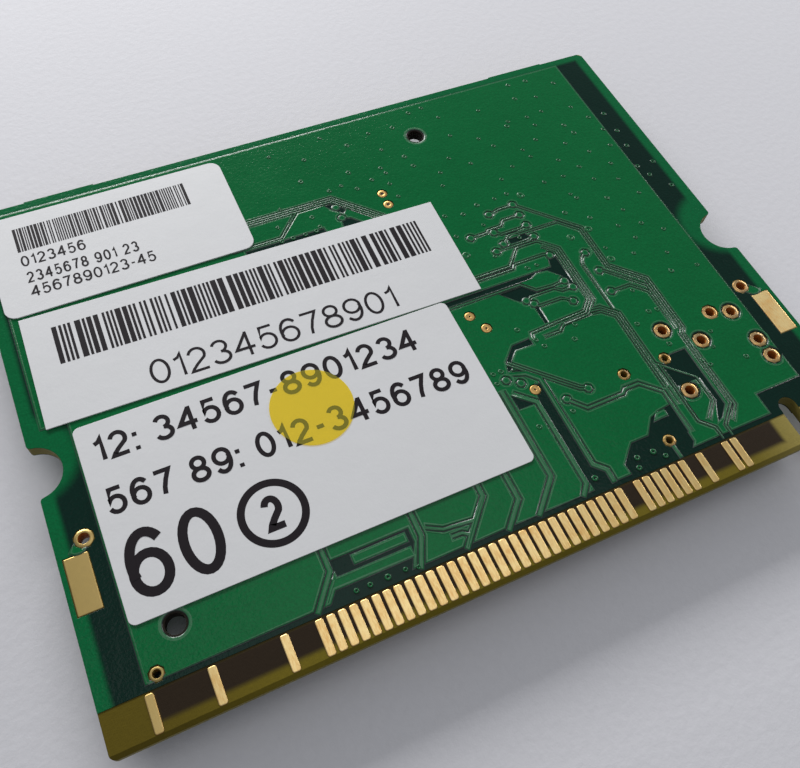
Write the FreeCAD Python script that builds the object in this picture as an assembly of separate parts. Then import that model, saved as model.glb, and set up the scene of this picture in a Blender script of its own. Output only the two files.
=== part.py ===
import FreeCAD, Part
import math
import os

# A laptop wifi card lying on its shield lid, solder side up, in millimetres.
# Plan places are measured from the lower left corner of the board, with the contact edge
# along y = 0. Heights are measured from the laminate's solder face, so the component side
# is below zero. Every piece is moved to the card's own frame as it is written.

# Board
board_depth = 44.45
board_thickness = 1.0
corner_radius = 0.4
tab_stub = 0.1
tab_width = 5.8
tab_inset = 4.7
edge_bevel_run = 0.3
edge_bevel_drop = 0.22

# Contact row
side_margin = 3.1
contact_pitch = 0.8
last_step = 60
key_step = 2.65
beyond_key = 2.75
contact_width = 0.6
contact_start = 0.32
contact_length = 2.48
contact_thickness = 0.05
contact_corner = 0.13
mask_gap = 0.12

# Key slot and latch notches
key_width = 1.5
key_depth = 4.1
key_mouth_radius = 0.35
notch_radius = 2.0
notch_rise = 19.85
notch_corner_radius = 0.3

# Coating on both faces: thin over bare laminate, raised where copper runs below it
coat_gap = 0.04
coat_copper = 0.09
pour_side = 3.3
pour_left_low = 3.1
pour_left_high = 1.2
pour_left_step = 23.0
pour_top = 0.75
pour_bottom = 3.35
pour_corner_x = 7.6
pour_corner_y = 5.2

# Tracks
fine_width = 0.12
fine_pitch = 0.22
fine_clear = 0.1
plain_width = 0.2
wide_width = 0.34
plain_clear = 0.13
land_radius = 0.27
land_clear = 0.13
land_sides = 6

# Holes
tool_hole_radius = 0.7
tool_hole_land = 0.25
ring_radius = 0.65
ring_hole = 0.37
small_ring_radius = 0.48
small_ring_hole = 0.2
plating = 0.05
ring_thickness = 0.07
ring_halo = 0.17
ring_gap = 0.04
opening_sides = 8
round_error = 0.035
test_dot_radius = 0.42

# Latch pads
pad_inset = 0.37
pad_width = 1.65
pad_start = 9.0
pad_length = 4.05

# Labels
label_thickness = 0.1
label_radius = 0.9
part_label_left = 1.0
part_label_width = 20.1
part_label_height = 10.1
part_label_top = 1.25
serial_label_width = 34.9
serial_label_left = 1.8
serial_label_gap = 0.3
serial_label_room = 0.7
serial_label_tilt = 1.1
approval_label_left = 3.2
approval_label_width = 29.9
approval_label_height = 15.05
approval_label_start = 7.05
approval_label_radius = 0.5
sticker_radius = 3.15
sticker_thickness = 0.05
sticker_x = 16.5
sticker_y = 10.25

# Shield
shield_left = 7.6
shield_right = 7.8
shield_start = 14.6
shield_top_margin = 6.85
shield_height = 2.2
sheet = 0.2
lid_clear = 0.04
lid_skirt = 1.5
fence_flange = 0.8
fence_notch_width = 1.6
fence_notch_height = 0.35
slit_width = 0.3
finger_pitch = 5.2
corner_gap = 0.7

# Small parts
end_cap = 0.3
end_cap_proud = 0.02
wall_room = 1.05

board_length = 2 * side_margin + last_step * contact_pitch + key_step + beyond_key
board_body_depth = board_depth - tab_stub
key_x = side_margin + last_step * contact_pitch + key_step
mask_line = contact_start + contact_length + mask_gap
front_face = -board_thickness
front_surface = front_face - coat_copper
back_face_height = shield_height + coat_copper + board_thickness

os.makedirs("parts", exist_ok=True)


def vec(x, y, z=0.0):
    return FreeCAD.Vector(x, y, z)


def polygon(points, z=0.0):
    corners = [vec(x, y, z) for x, y in points]
    return Part.Face(Part.makePolygon(corners + corners[:1]))


def prism(points, z, height):
    return polygon(points, z).extrude(vec(0, 0, height))


def block(x0, y0, z0, x1, y1, z1):
    return Part.makeBox(x1 - x0, y1 - y0, z1 - z0, vec(x0, y0, z0))


def hanging(x, y, width, depth, height, gap=0.0):
    # A block on the component side, centred on x, y, that hangs from the coated surface.
    top = front_surface - gap
    return block(x - width / 2, y - depth / 2, top - height, x + width / 2, y + depth / 2, top)


def sides_for(radius):
    # How many flats keep a small round within the named error of a true circle.
    half_turn = math.acos(1 - round_error / radius)
    return 2 * math.ceil(math.pi / half_turn / 2)


def ring_points(x, y, radius, sides=None):
    # A polygon whose flats touch a circle of this radius.
    sides = sides or sides_for(radius)
    step = 2 * math.pi / sides
    reach = radius / math.cos(step / 2)
    return [(x + reach * math.cos((k + 0.5) * step), y + reach * math.sin((k + 0.5) * step))
            for k in range(sides)]


def rounded(x0, y0, x1, y1, radius, z, height):
    plate = block(x0, y0, z, x1, y1, z + height)
    upright = [e for e in plate.Edges if abs(e.Vertexes[0].Z - e.Vertexes[-1].Z) > height / 2]
    return plate.makeFillet(radius, upright)


def joined(shapes):
    whole = shapes[0].fuse(shapes[1:]) if len(shapes) > 1 else shapes[0]
    return whole.removeSplitter()


def write(name, shapes):
    group = Part.makeCompound(shapes) if isinstance(shapes, list) else shapes
    placed = group.copy()
    placed.translate(vec(-board_length / 2, -board_depth / 2, back_face_height))
    placed.exportStep("parts/" + name + ".step")


# Board outline

def from_right(distance):
    return board_length - distance


def corner_edges(plate, places):
    picked = []
    for edge in plate.Edges:
        first, last = edge.Vertexes[0].Point, edge.Vertexes[-1].Point
        upright = abs(first.x - last.x) < 1e-6 and abs(first.y - last.y) < 1e-6
        if upright and any(abs(first.x - x) < 1e-4 and abs(first.y - y) < 1e-4 for x, y in places):
            picked.append(edge)
    return picked


def outline_plate(z, height, rounded_corners=True):
    # The card's plan shape: latch notches, key slot and the stubs of the break-off tabs.
    # A coat has its corners cut straight, which keeps it just inside the board's round ones.
    plate = block(0, 0, z, board_length, board_body_depth, z + height)
    cuts = [Part.makeCylinder(notch_radius, height, vec(x, notch_rise, z)) for x in (0, board_length)]
    key_end = key_depth - key_width / 2
    cuts.append(block(key_x - key_width / 2, -1, z, key_x + key_width / 2, key_end, z + height))
    cuts.append(Part.makeCylinder(key_width / 2, height, vec(key_x, key_end, z)))
    plate = plate.cut(cuts).removeSplitter()
    horns = [(x, notch_rise + side * notch_radius) for x in (0, board_length) for side in (-1, 1)]
    plate = plate.makeFillet(notch_corner_radius, corner_edges(plate, horns))
    corners = corner_edges(plate, [(x, y) for x in (0, board_length) for y in (0, board_body_depth)])
    if rounded_corners:
        plate = plate.makeFillet(corner_radius, corners)
        mouths = [(key_x + side * key_width / 2, 0) for side in (-1, 1)]
        plate = plate.makeFillet(key_mouth_radius, corner_edges(plate, mouths))
    else:
        plate = plate.makeChamfer(corner_radius, corners)
    stubs = [block(x, board_body_depth - tab_stub, z, x + tab_width, board_depth, z + height)
             for x in (tab_inset, from_right(tab_inset + tab_width))]
    return plate.fuse(stubs).removeSplitter()


# Plated holes, tool holes and test dots, as plan places

def plated_places():
    return [(from_right(11.2), 13.0), (from_right(4.7), 12.4), (from_right(8.7), 11.0),
            (from_right(4.2), 9.3), (from_right(4.1), 7.6), (from_right(12.3), 7.5)]


def grounded_places():
    return [(from_right(6.4), 13.0)]


def latch_via_places():
    return [(2.0, 14.0), (from_right(2.3), 14.2)]


def small_via_places():
    return [(from_right(12.5), 10.7), (from_right(16.4), 10.7), (from_right(16.3), 4.5), (3.9, 3.72)]


def tool_hole_places():
    return [(5.85, 6.2), (38.95, board_depth - 4.65)]


def test_dot_places():
    return [(36.0, 12.2), (35.15, 18.6), (34.4, 20.1), (33.2, 34.5), (33.2, 33.2)]


def all_rings():
    large = plated_places() + grounded_places() + latch_via_places()
    return ([(x, y, ring_radius, ring_hole) for x, y in large]
            + [(x, y, small_ring_radius, small_ring_hole) for x, y in small_via_places()])


def circuit_board():
    board = outline_plate(front_face, board_thickness)
    drills = [prism(ring_points(x, y, hole + plating), front_face, board_thickness)
              for x, y, ring, hole in all_rings()]
    drills += [Part.makeCylinder(tool_hole_radius, board_thickness, vec(x, y, front_face))
               for x, y in tool_hole_places()]
    bevels = []
    for face, way in ((0, -1), (front_face, 1)):
        side = [vec(-1, 0, face), vec(-1, edge_bevel_run, face), vec(-1, 0, face + way * edge_bevel_drop)]
        bevels.append(Part.Face(Part.makePolygon(side + side[:1])).extrude(vec(board_length + 2, 0, 0)))
    return board.cut(drills + bevels)


def plated_holes():
    # Each barrel lines its hole and turns out into a ring, on both faces of the large ones.
    pieces = []
    for x, y, ring, hole in all_rings():
        plan = ring_points(x, y, ring)
        flanges = [prism(plan, 0, ring_thickness)]
        low = front_face
        if ring > small_ring_radius:
            low = front_face - ring_thickness
            flanges.append(prism(plan, low, ring_thickness))
        barrel = prism(ring_points(x, y, hole + plating), low, ring_thickness - low)
        bore = prism(ring_points(x, y, hole), low, ring_thickness - low)
        pieces.append(joined([barrel] + flanges).cut(bore))
    return pieces


# Contacts and pads

back_contact_steps = [0, 5, 11] + list(range(14, 44)) + list(range(45, 51)) + [52, 55, 56]
front_contact_steps = list(range(11, 15)) + list(range(16, 40)) + list(range(41, 51)) + [52, 54, 55, 56]


def contact_row(steps, z, cut):
    half = contact_width / 2
    top = contact_start + contact_length
    row = []
    for step in steps:
        x = side_margin + step * contact_pitch
        plan = [(x - half, contact_start), (x + half, contact_start), (x + half, top - cut)]
        if cut:
            plan += [(x + half - cut, top), (x - half + cut, top)]
        else:
            plan[-1] = (x + half, top)
        plan.append((x - half, top - cut))
        row.append(prism(plan, z, contact_thickness))
    return row


def latch_pads(z):
    return [block(x, pad_start, z, x + pad_width, pad_start + pad_length, z + contact_thickness)
            for x in (pad_inset, from_right(pad_inset + pad_width))]


def test_dots():
    return [prism(ring_points(x, y, test_dot_radius), 0, ring_thickness) for x, y in test_dot_places()]


# Coating with copper relief

def beside(route, offset):
    # The route moved sideways, with mitred corners.
    moved = []
    for k, (x, y) in enumerate(route):
        ways = []
        if k > 0:
            ways.append((x - route[k - 1][0], y - route[k - 1][1]))
        if k < len(route) - 1:
            ways.append((route[k + 1][0] - x, route[k + 1][1] - y))
        normals = [(-dy / math.hypot(dx, dy), dx / math.hypot(dx, dy)) for dx, dy in ways]
        nx = sum(n[0] for n in normals)
        ny = sum(n[1] for n in normals)
        size = math.hypot(nx, ny)
        nx, ny = nx / size, ny / size
        reach = offset / (nx * normals[0][0] + ny * normals[0][1])
        moved.append((x + nx * reach, y + ny * reach))
    return moved


def strip(route, width):
    return beside(route, width / 2) + beside(route, -width / 2)[::-1]


def bundle(route, count):
    first = -(count - 1) / 2
    return [beside(route, (first + k) * fine_pitch) for k in range(count)]


# Fine tracks that run alone, as the points of their middle line
single_runs = [
    [(25.4, 35.2), (23.3, 33.05), (19.0, 33.05)],
    [(40.9, 28.9), (41.9, 29.15), (43.4, 29.15), (47.83, 24.72), (47.83, 20.35), (50.23, 17.95),
     (50.23, 12.6), (49.87, 12.1), (49.87, 5.1), (48.9, 4.0)],
    [(38.2, 27.2), (39.75, 27.2), (40.0, 27.45), (41.25, 27.45), (41.75, 27.95), (43.4, 27.95)],
    [(40.4, 27.0), (40.85, 26.6), (42.8, 26.6), (43.4, 26.75)],
    [(40.6, 25.6), (41.35, 26.3), (42.2, 26.3), (42.45, 26.05), (46.1, 26.05), (47.61, 24.55),
     (47.61, 20.25), (50.01, 17.85), (50.01, 12.65), (49.65, 12.15), (49.65, 5.3), (48.1, 3.9),
     (48.1, 3.0)],
    [(39.65, 25.1), (42.9, 25.1), (43.4, 25.4)],
    [(30.0, 23.3), (39.9, 23.3), (41.35, 24.85), (43.35, 24.85), (44.35, 23.85)],
    [(30.0, 22.95), (40.0, 22.95), (40.35, 23.35), (43.2, 23.35), (43.6, 23.1)],
    [(41.2, 16.97), (38.3, 16.8), (38.15, 16.3)],
    [(41.2, 16.6), (40.6, 16.1), (39.1, 16.1)],
    [(33.0, 21.32), (39.75, 21.32), (40.75, 20.3), (42.3, 20.2), (43.4, 20.3)],
    [(39.5, 19.65), (40.0, 19.95), (42.2, 19.95), (42.8, 19.5), (43.8, 19.5)],
    [(39.85, 19.2), (40.2, 18.85), (42.25, 18.85), (43.1, 18.3)],
    [(46.65, 22.15), (46.15, 21.9), (45.78, 21.2), (45.78, 16.3)],
    [(45.7, 8.6), (45.7, 6.8)],
    [(46.3, 10.4), (46.3, 5.0), (47.25, 4.0), (47.25, 3.0)],
    [(46.1, 10.55), (48.47, 8.3), (48.47, 6.05), (47.2, 4.8)],
    [(46.8, 20.1), (47.2, 19.9), (49.79, 17.3), (49.79, 12.7)],
    [(46.6, 17.85), (48.4, 17.85), (49.57, 16.7), (49.57, 12.7)],
]

# Fine tracks in pairs, as the middle line of the pair
pair_runs = [
    [(35.1, 15.05), (39.3, 11.0), (39.85, 10.75)],
]

# Fine tracks in threes
triple_runs = [
    [(19.0, 35.45), (28.75, 35.45), (33.3, 30.9)],
    [(43.6, 24.35), (44.57, 23.4), (44.57, 17.9), (43.5, 16.85), (41.2, 16.75)],
    [(43.9, 16.8), (44.75, 16.7), (45.83, 15.7), (45.83, 8.4)],
]

# Single plain tracks
plain_runs = [
    [(37.85, 10.45), (38.95, 9.25), (42.2, 9.25), (42.55, 9.55), (43.8, 9.55), (45.25, 8.2), (45.25, 4.5)],
    [(23.4, 5.6), (24.5, 5.0), (26.9, 4.75)],
    [(24.8, 4.3), (25.6, 4.25), (26.1, 3.9)],
    [(43.3, 4.5), (43.35, 3.0)],
]

# Wide tracks
wide_runs = [
    [(34.2, 12.5), (35.62, 11.2), (35.62, 4.0), (34.9, 3.2)],
    [(33.5, 13.0), (33.5, 5.5), (31.2, 3.2)],
    [(35.0, 14.1), (36.0, 13.75), (36.85, 12.9), (36.85, 5.1), (37.6, 4.35), (37.6, 3.3)],
    [(28.2, 9.0), (28.2, 6.1), (25.4, 3.1)],
    [(30.45, 9.0), (30.45, 4.9), (28.7, 3.1)],
    [(22.9, 9.0), (22.9, 5.2), (21.9, 3.1)],
    [(16.2, 9.0), (16.2, 5.4), (14.4, 3.1)],
]

# Patches with no copper, where the dark core shows through the coating
bare_patches = [
    [(27.9, 35.05), (28.5, 35.05), (29.6, 34.0), (29.2, 33.6), (28.3, 34.4)],
    [(28.8, 33.3), (29.6, 33.0), (31.5, 31.0), (29.5, 31.0), (28.6, 32.4)],
    [(20.0, 32.8), (27.0, 32.8), (27.2, 31.5), (20.0, 31.5)],
    [(33.0, 22.05), (43.1, 22.05), (43.3, 22.8), (44.1, 22.85), (44.1, 19.8), (43.75, 19.9),
     (43.5, 20.8), (42.6, 21.75), (41.6, 21.85), (40.9, 21.5), (33.0, 21.5)],
    [(37.6, 21.15), (39.7, 21.15), (40.9, 20.0), (39.3, 19.85), (38.9, 19.75)],
    [(41.1, 25.95), (42.85, 25.95), (43.1, 25.55), (42.8, 25.35), (41.1, 25.35)],
    [(39.75, 18.9), (40.15, 18.9), (40.15, 17.1), (39.75, 17.1)],
    [(34.75, 14.3), (35.05, 15.25), (36.25, 16.4), (37.95, 16.5), (37.95, 15.8), (36.3, 15.85),
     (35.55, 15.1), (35.2, 14.4)],
    [(35.85, 12.6), (36.65, 12.6), (36.65, 5.1), (37.35, 4.4), (37.4, 3.1), (35.85, 3.1)],
    [(33.95, 12.5), (33.95, 11.1), (35.4, 11.1), (34.3, 12.2)],
    [(39.0, 4.15), (39.95, 5.05), (40.45, 5.5), (42.0, 5.5), (43.05, 6.7), (43.9, 6.95), (45.05, 7.1),
     (45.05, 3.7), (44.5, 3.1), (39.1, 3.1)],
    [(46.5, 10.1), (47.25, 10.9), (49.2, 10.9), (49.2, 5.4), (48.3, 4.5), (47.7, 4.3), (48.65, 6.0),
     (48.65, 8.1), (46.5, 8.1)],
    [(16.45, 6.1), (22.3, 6.1), (22.3, 5.0), (21.3, 3.1), (15.2, 3.1), (16.45, 4.6)],
]

# Copper islands left inside the bare patches
copper_islands = [
    [(17.9, 5.2), (21.9, 5.2), (21.9, 5.87), (17.9, 5.87)],
    [(15.95, 4.1), (21.9, 4.1), (21.9, 4.82), (16.1, 4.82)],
    [(43.15, 6.3), (44.4, 6.35), (44.4, 6.9), (43.6, 6.85)],
]

# Lands of signal vias, each with a bare ring round it
land_places = [
    (28.8, 34.5), (28.85, 33.25), (40.9, 28.95), (43.4, 29.2), (43.4, 27.95), (38.2, 27.2),
    (40.35, 27.0), (43.4, 26.75), (40.55, 25.6), (43.4, 25.4), (39.6, 25.1), (43.65, 23.1),
    (43.45, 20.3), (39.45, 19.7), (39.9, 19.2), (43.8, 19.5), (43.1, 18.25), (34.3, 13.75),
    (35.25, 13.1), (37.85, 10.5), (39.9, 10.7), (46.65, 22.2), (46.8, 20.1), (46.6, 17.9),
]


def pour_outline():
    right, top = from_right(pour_side), board_body_depth - pour_top
    return [(pour_left_high, top), (right, top), (right, pour_corner_y),
            (from_right(pour_corner_x), pour_corner_y), (from_right(pour_corner_x), pour_bottom),
            (pour_left_low, pour_bottom), (pour_left_low, pour_left_step),
            (pour_left_high, pour_left_step)]


def latch_necks():
    # Copper that ties each latch pad to its via.
    left, right = latch_via_places()
    top = pad_start + pad_length
    return [strip([(pad_inset + pad_width / 2, top), left], pad_width / 2),
            strip([(from_right(pad_inset + pad_width / 2), top), right], pad_width / 2)]


def cover_openings(z, height, rings):
    # Windows in the coating over rings, pads and tool holes.
    cuts = [prism(ring_points(x, y, ring + ring_gap, opening_sides), z, height)
            for x, y, ring, hole in rings]
    cuts += [prism(ring_points(x, y, tool_hole_radius + tool_hole_land, opening_sides), z, height)
             for x, y in tool_hole_places()]
    cuts += [block(x - ring_gap, pad_start - ring_gap, z, x + pad_width + ring_gap,
                   pad_start + pad_length + ring_gap, z + height)
             for x in (pad_inset, from_right(pad_inset + pad_width))]
    return cuts


def coated_plate(z, height):
    plate = outline_plate(z, height, False)
    return plate.cut(block(-1, -1, z, board_length + 1, mask_line, z + height))


def back_circuit_layer():
    channels = []
    copper = []
    for tracks, routes in enumerate((single_runs, pair_runs, triple_runs), 1):
        for route in routes:
            channels.append(strip(route, (tracks - 1) * fine_pitch + fine_width + 2 * fine_clear))
            copper += [strip(track, fine_width) for track in bundle(route, tracks)]
    for routes, width in ((plain_runs, plain_width), (wide_runs, wide_width)):
        channels += [strip(route, width + 2 * plain_clear) for route in routes]
        copper += [strip(route, width) for route in routes]
    channels += bare_patches
    copper += copper_islands
    for x, y in land_places:
        channels.append(ring_points(x, y, land_radius + land_clear, land_sides))
        copper.append(ring_points(x, y, land_radius, land_sides))
    channels += [ring_points(x, y, ring_radius + ring_halo, opening_sides) for x, y in plated_places()]
    pour = polygon(pour_outline()).cut([polygon(shape) for shape in channels])
    kept = joined([polygon(shape) for shape in copper])
    kept = kept.cut([polygon(ring_points(x, y, ring_radius + ring_gap, opening_sides))
                     for x, y in plated_places()])
    window = polygon([(0, mask_line), (board_length, mask_line), (board_length, board_depth),
                      (0, board_depth)])
    plan = joined([pour, kept.common(window)] + [polygon(neck) for neck in latch_necks()])
    relief = Part.makeCompound([face.extrude(vec(0, 0, coat_copper)) for face in plan.Faces])
    layer = coated_plate(0, coat_gap).fuse(relief).removeSplitter()
    dots = [prism(ring_points(x, y, test_dot_radius + ring_gap, opening_sides), 0, coat_copper)
            for x, y in test_dot_places()]
    return layer.cut(cover_openings(0, coat_copper, all_rings()) + dots)


def front_circuit_layer():
    large = [ring for ring in all_rings() if ring[2] > small_ring_radius]
    return coated_plate(front_surface, coat_copper).cut(cover_openings(front_surface, coat_copper, large))


# Labels

def part_label():
    top = board_body_depth - part_label_top
    return rounded(part_label_left, top - part_label_height, part_label_left + part_label_width, top,
                   label_radius, coat_copper, label_thickness)


def serial_label():
    # A long label, a little askew, in the room between the other two.
    top = board_body_depth - part_label_top - part_label_height - serial_label_gap
    serial_label_height = top - approval_label_start - approval_label_height - serial_label_room
    plate = block(0, -serial_label_height, coat_copper, serial_label_width, 0, coat_copper + label_thickness)
    plate.rotate(vec(0, 0, 0), vec(0, 0, 1), -serial_label_tilt)
    plate.translate(vec(serial_label_left, top, 0))
    return plate


def approval_label():
    right = approval_label_left + approval_label_width
    top = approval_label_start + approval_label_height
    return rounded(approval_label_left, approval_label_start, right, top, approval_label_radius,
                   coat_copper, label_thickness)


def round_sticker():
    centre = vec(approval_label_left + sticker_x, approval_label_start + sticker_y,
                 coat_copper + label_thickness)
    return Part.makeCylinder(sticker_radius, sticker_thickness, centre)


# Shield: a soldered fence with a snap-on lid

shield_x0 = shield_left
shield_x1 = board_length - shield_right
shield_y0 = shield_start
shield_y1 = board_depth - shield_top_margin
divider_x = shield_x0 + 0.55 * (shield_x1 - shield_x0)


def spread(start, end, pitch):
    # Even places between two ends, about one pitch apart.
    count = max(int((end - start) / pitch), 2)
    step = (end - start) / count
    return [start + k * step for k in range(1, count)]


def shield_frame():
    low = front_surface - shield_height + sheet
    outer = block(shield_x0, shield_y0, low, shield_x1, shield_y1, front_surface)
    room = block(shield_x0 + sheet, shield_y0 + sheet, low + sheet, shield_x1 - sheet, shield_y1 - sheet,
                 front_surface)
    rim = sheet + fence_flange
    windows = [block(a, shield_y0 + rim, low, b, shield_y1 - rim, low + sheet)
               for a, b in ((shield_x0 + rim, divider_x - fence_flange),
                            (divider_x + fence_flange, shield_x1 - rim))]
    divider = block(divider_x - sheet / 2, shield_y0 + sheet, low + sheet, divider_x + sheet / 2,
                    shield_y1 - sheet, front_surface)
    frame = outer.cut([room] + windows).fuse(divider)
    top = front_surface - fence_notch_height
    half = fence_notch_width / 2
    feet = [block(x - half, shield_y0 - 1, top, x + half, shield_y1 + 1, front_surface)
            for x in spread(shield_x0, shield_x1, 2 * finger_pitch)]
    feet += [block(shield_x0 - 1, y - half, top, shield_x1 + 1, y + half, front_surface)
             for y in spread(shield_y0, shield_y1, 2 * finger_pitch)]
    return frame.cut(feet).removeSplitter()


def shield_lid():
    low = front_surface - shield_height
    inner = lid_clear
    outer = lid_clear + sheet
    top = low + sheet + lid_skirt
    lid = block(shield_x0 - outer, shield_y0 - outer, low, shield_x1 + outer, shield_y1 + outer, top)
    lid = lid.cut(block(shield_x0 - inner, shield_y0 - inner, low + sheet, shield_x1 + inner,
                        shield_y1 + inner, top))
    half = slit_width / 2
    cuts = [block(x - half, shield_y0 - 1, low + sheet, x + half, shield_y1 + 1, top)
            for x in spread(shield_x0, shield_x1, finger_pitch)]
    cuts += [block(shield_x0 - 1, y - half, low + sheet, shield_x1 + 1, y + half, top)
             for y in spread(shield_y0, shield_y1, finger_pitch)]
    cuts += [block(x - corner_gap, y - corner_gap, low + sheet, x + corner_gap, y + corner_gap, top)
             for x in (shield_x0, shield_x1) for y in (shield_y0, shield_y1)]
    return lid.cut(cuts).removeSplitter()


# Chips

def moulded(x, y, width, depth, height, stand=0.0, draft=0.12, band=0.2):
    # A moulded package: its sides lean in above and below an upright parting band.
    top = front_surface - stand
    middle = top - height / 2
    levels = [(top, draft), (middle + band / 2, 0), (middle - band / 2, 0), (top - height, draft)]
    wires = []
    for z, inset in levels:
        a, b = width / 2 - inset, depth / 2 - inset
        corners = [vec(x - a, y - b, z), vec(x + a, y - b, z), vec(x + a, y + b, z), vec(x - a, y + b, z)]
        wires.append(Part.makePolygon(corners + corners[:1]))
    return Part.makeLoft(wires, True, True)


def gull_lead(x, y, way, width, reach, rise, gauge=0.15, foot=0.55):
    # One bent lead that leaves a package at x, y along +y or -y and stands on the board.
    side = [(0, rise + gauge / 2), (reach - foot, rise + gauge / 2), (reach - foot + gauge, gauge),
            (reach, gauge), (reach, 0), (reach - foot, 0), (reach - foot - gauge, rise - gauge / 2),
            (0, rise - gauge / 2)]
    corners = [vec(x - width / 2, y + way * out, front_surface - down) for out, down in side]
    return Part.Face(Part.makePolygon(corners + corners[:1])).extrude(vec(width, 0, 0))


memory_x, memory_y = 14.0, 9.0
memory_width, memory_depth, memory_height, memory_stand = 4.9, 3.9, 1.4, 0.1
memory_lead_pitch, memory_lead_width, memory_reach = 1.27, 0.42, 1.05
regulator_x, regulator_y = 24.5, 9.2
regulator_width, regulator_depth, regulator_height, regulator_stand = 6.5, 3.5, 1.6, 0.05
regulator_lead_pitch, regulator_lead_width, regulator_tab, regulator_reach = 2.3, 0.7, 3.0, 1.75


def memory_chip_leads():
    rise = memory_stand + memory_height / 2
    return [gull_lead(memory_x + (k - 1.5) * memory_lead_pitch, memory_y + way * memory_depth / 2, way,
                      memory_lead_width, memory_reach, rise)
            for way in (-1, 1) for k in range(4)]


def regulator_leads():
    rise = regulator_stand + regulator_height / 2
    leads = [gull_lead(regulator_x + k * regulator_lead_pitch, regulator_y - regulator_depth / 2, -1,
                       regulator_lead_width, regulator_reach, rise, foot=0.9)
             for k in (-1, 0, 1)]
    leads.append(gull_lead(regulator_x, regulator_y + regulator_depth / 2, 1, regulator_tab,
                           regulator_reach, rise, foot=0.9))
    return leads


# Two-ended small parts: a body between two metal ends

def chip_part(x, y, length, width, height, along_x=True):
    cap = end_cap if length < 3 else 2 * end_cap
    inner = length - 2 * cap
    body_w, body_h = width - 2 * end_cap_proud, height - end_cap_proud
    if along_x:
        body = hanging(x, y, inner, body_w, body_h)
        ends = [hanging(x + s * (inner + cap) / 2, y, cap, width, height) for s in (-1, 1)]
    else:
        body = hanging(x, y, body_w, inner, body_h)
        ends = [hanging(x, y + s * (inner + cap) / 2, width, cap, height) for s in (-1, 1)]
    return body, ends


def row(x, y, dx, dy, count):
    return [(x + k * dx, y + k * dy) for k in range(count)]


def write_chip_parts(name, places, length, width, height, along_x=True):
    parts = [chip_part(x, y, length, width, height, along_x) for x, y in places]
    write(name + "_bodies", [body for body, ends in parts])
    write(name + "_ends", [end for body, ends in parts for end in ends])


def tantalum_capacitors(places, length=3.5, width=2.8, height=1.8):
    bodies, ends = [], []
    strap, wrap, gauge = 2.2, 0.8, 0.12
    for x, y in places:
        bodies.append(moulded(x, y, length - 2 * gauge, width, height - gauge, gauge, 0.1))
        for side in (-1, 1):
            out = x + side * length / 2
            rise = (height + gauge) / 2
            inner = out - side * gauge
            plan = [(out, 0), (out - side * wrap, 0), (out - side * wrap, gauge), (inner, gauge),
                    (inner, rise), (out, rise)]
            corners = [vec(px, y - strap / 2, front_surface - pz) for px, pz in plan]
            ends.append(Part.Face(Part.makePolygon(corners + corners[:1])).extrude(vec(0, strap, 0)))
    return bodies, ends


# Antenna sockets

socket_shell_radius = 1.0
socket_shell_wall = 0.13
socket_height = 1.25
socket_base = 2.6
socket_base_height = 0.3
socket_strap = 0.9
socket_gauge = 0.1
socket_pin_radius = 0.2
socket_pin_height = 1.0
socket_margin = 3.3


def socket_places():
    y = board_depth - socket_margin
    return [(5.2, y), (from_right(9.6), y)]


def revolved(x, y, half):
    corners = [vec(r, 0, front_surface - down) for r, down in half]
    shape = Part.Face(Part.makePolygon(corners + corners[:1])).revolve(vec(0, 0, 0), vec(0, 0, 1), 360)
    shape.translate(vec(x, y, 0))
    return shape


def socket_pin(x, y):
    post = prism(ring_points(x, y, socket_pin_radius), front_surface - socket_pin_height,
                 socket_pin_height)
    foot = block(x - socket_pin_radius, y, front_surface - socket_gauge, x + socket_pin_radius,
                 y + socket_base / 2 + end_cap, front_surface)
    return post.fuse(foot).removeSplitter()


def socket_base_block(x, y):
    return hanging(x, y, socket_base, socket_base, socket_base_height).cut(socket_pin(x, y))


def socket_shell(x, y):
    low = socket_base_height
    inner = socket_shell_radius - socket_shell_wall
    tube = revolved(x, y, [(inner, low), (socket_shell_radius, low), (socket_shell_radius, socket_height),
                           (inner, socket_height)])
    straps = []
    half, out = socket_strap / 2, socket_base / 2
    for side in (-1, 1):
        plan = [(inner + 0.02, low), (out, low), (out, 0), (out + end_cap, 0),
                (out + end_cap, socket_gauge), (out + socket_gauge, socket_gauge),
                (out + socket_gauge, low + socket_gauge), (inner + 0.02, low + socket_gauge)]
        corners = [vec(x + side * px, y - half, front_surface - pz) for px, pz in plan]
        straps.append(Part.Face(Part.makePolygon(corners + corners[:1])).extrude(vec(0, 2 * half, 0)))
    return tube.fuse(straps).removeSplitter()


# Write every piece

write("circuit_board", circuit_board())
write("back_circuit_layer", back_circuit_layer())
write("front_circuit_layer", front_circuit_layer())
write("plated_holes", plated_holes())
write("test_dots", test_dots())
write("back_edge_contacts", contact_row(back_contact_steps, 0, contact_corner))
write("front_edge_contacts", contact_row(front_contact_steps, front_face - contact_thickness, 0))
write("back_latch_pads", latch_pads(0))
write("front_latch_pads", latch_pads(front_face - contact_thickness))
write("part_label", part_label())
write("serial_label", serial_label())
write("approval_label", approval_label())
write("round_sticker", round_sticker())
write("shield_frame", shield_frame())
write("shield_lid", shield_lid())

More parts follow.
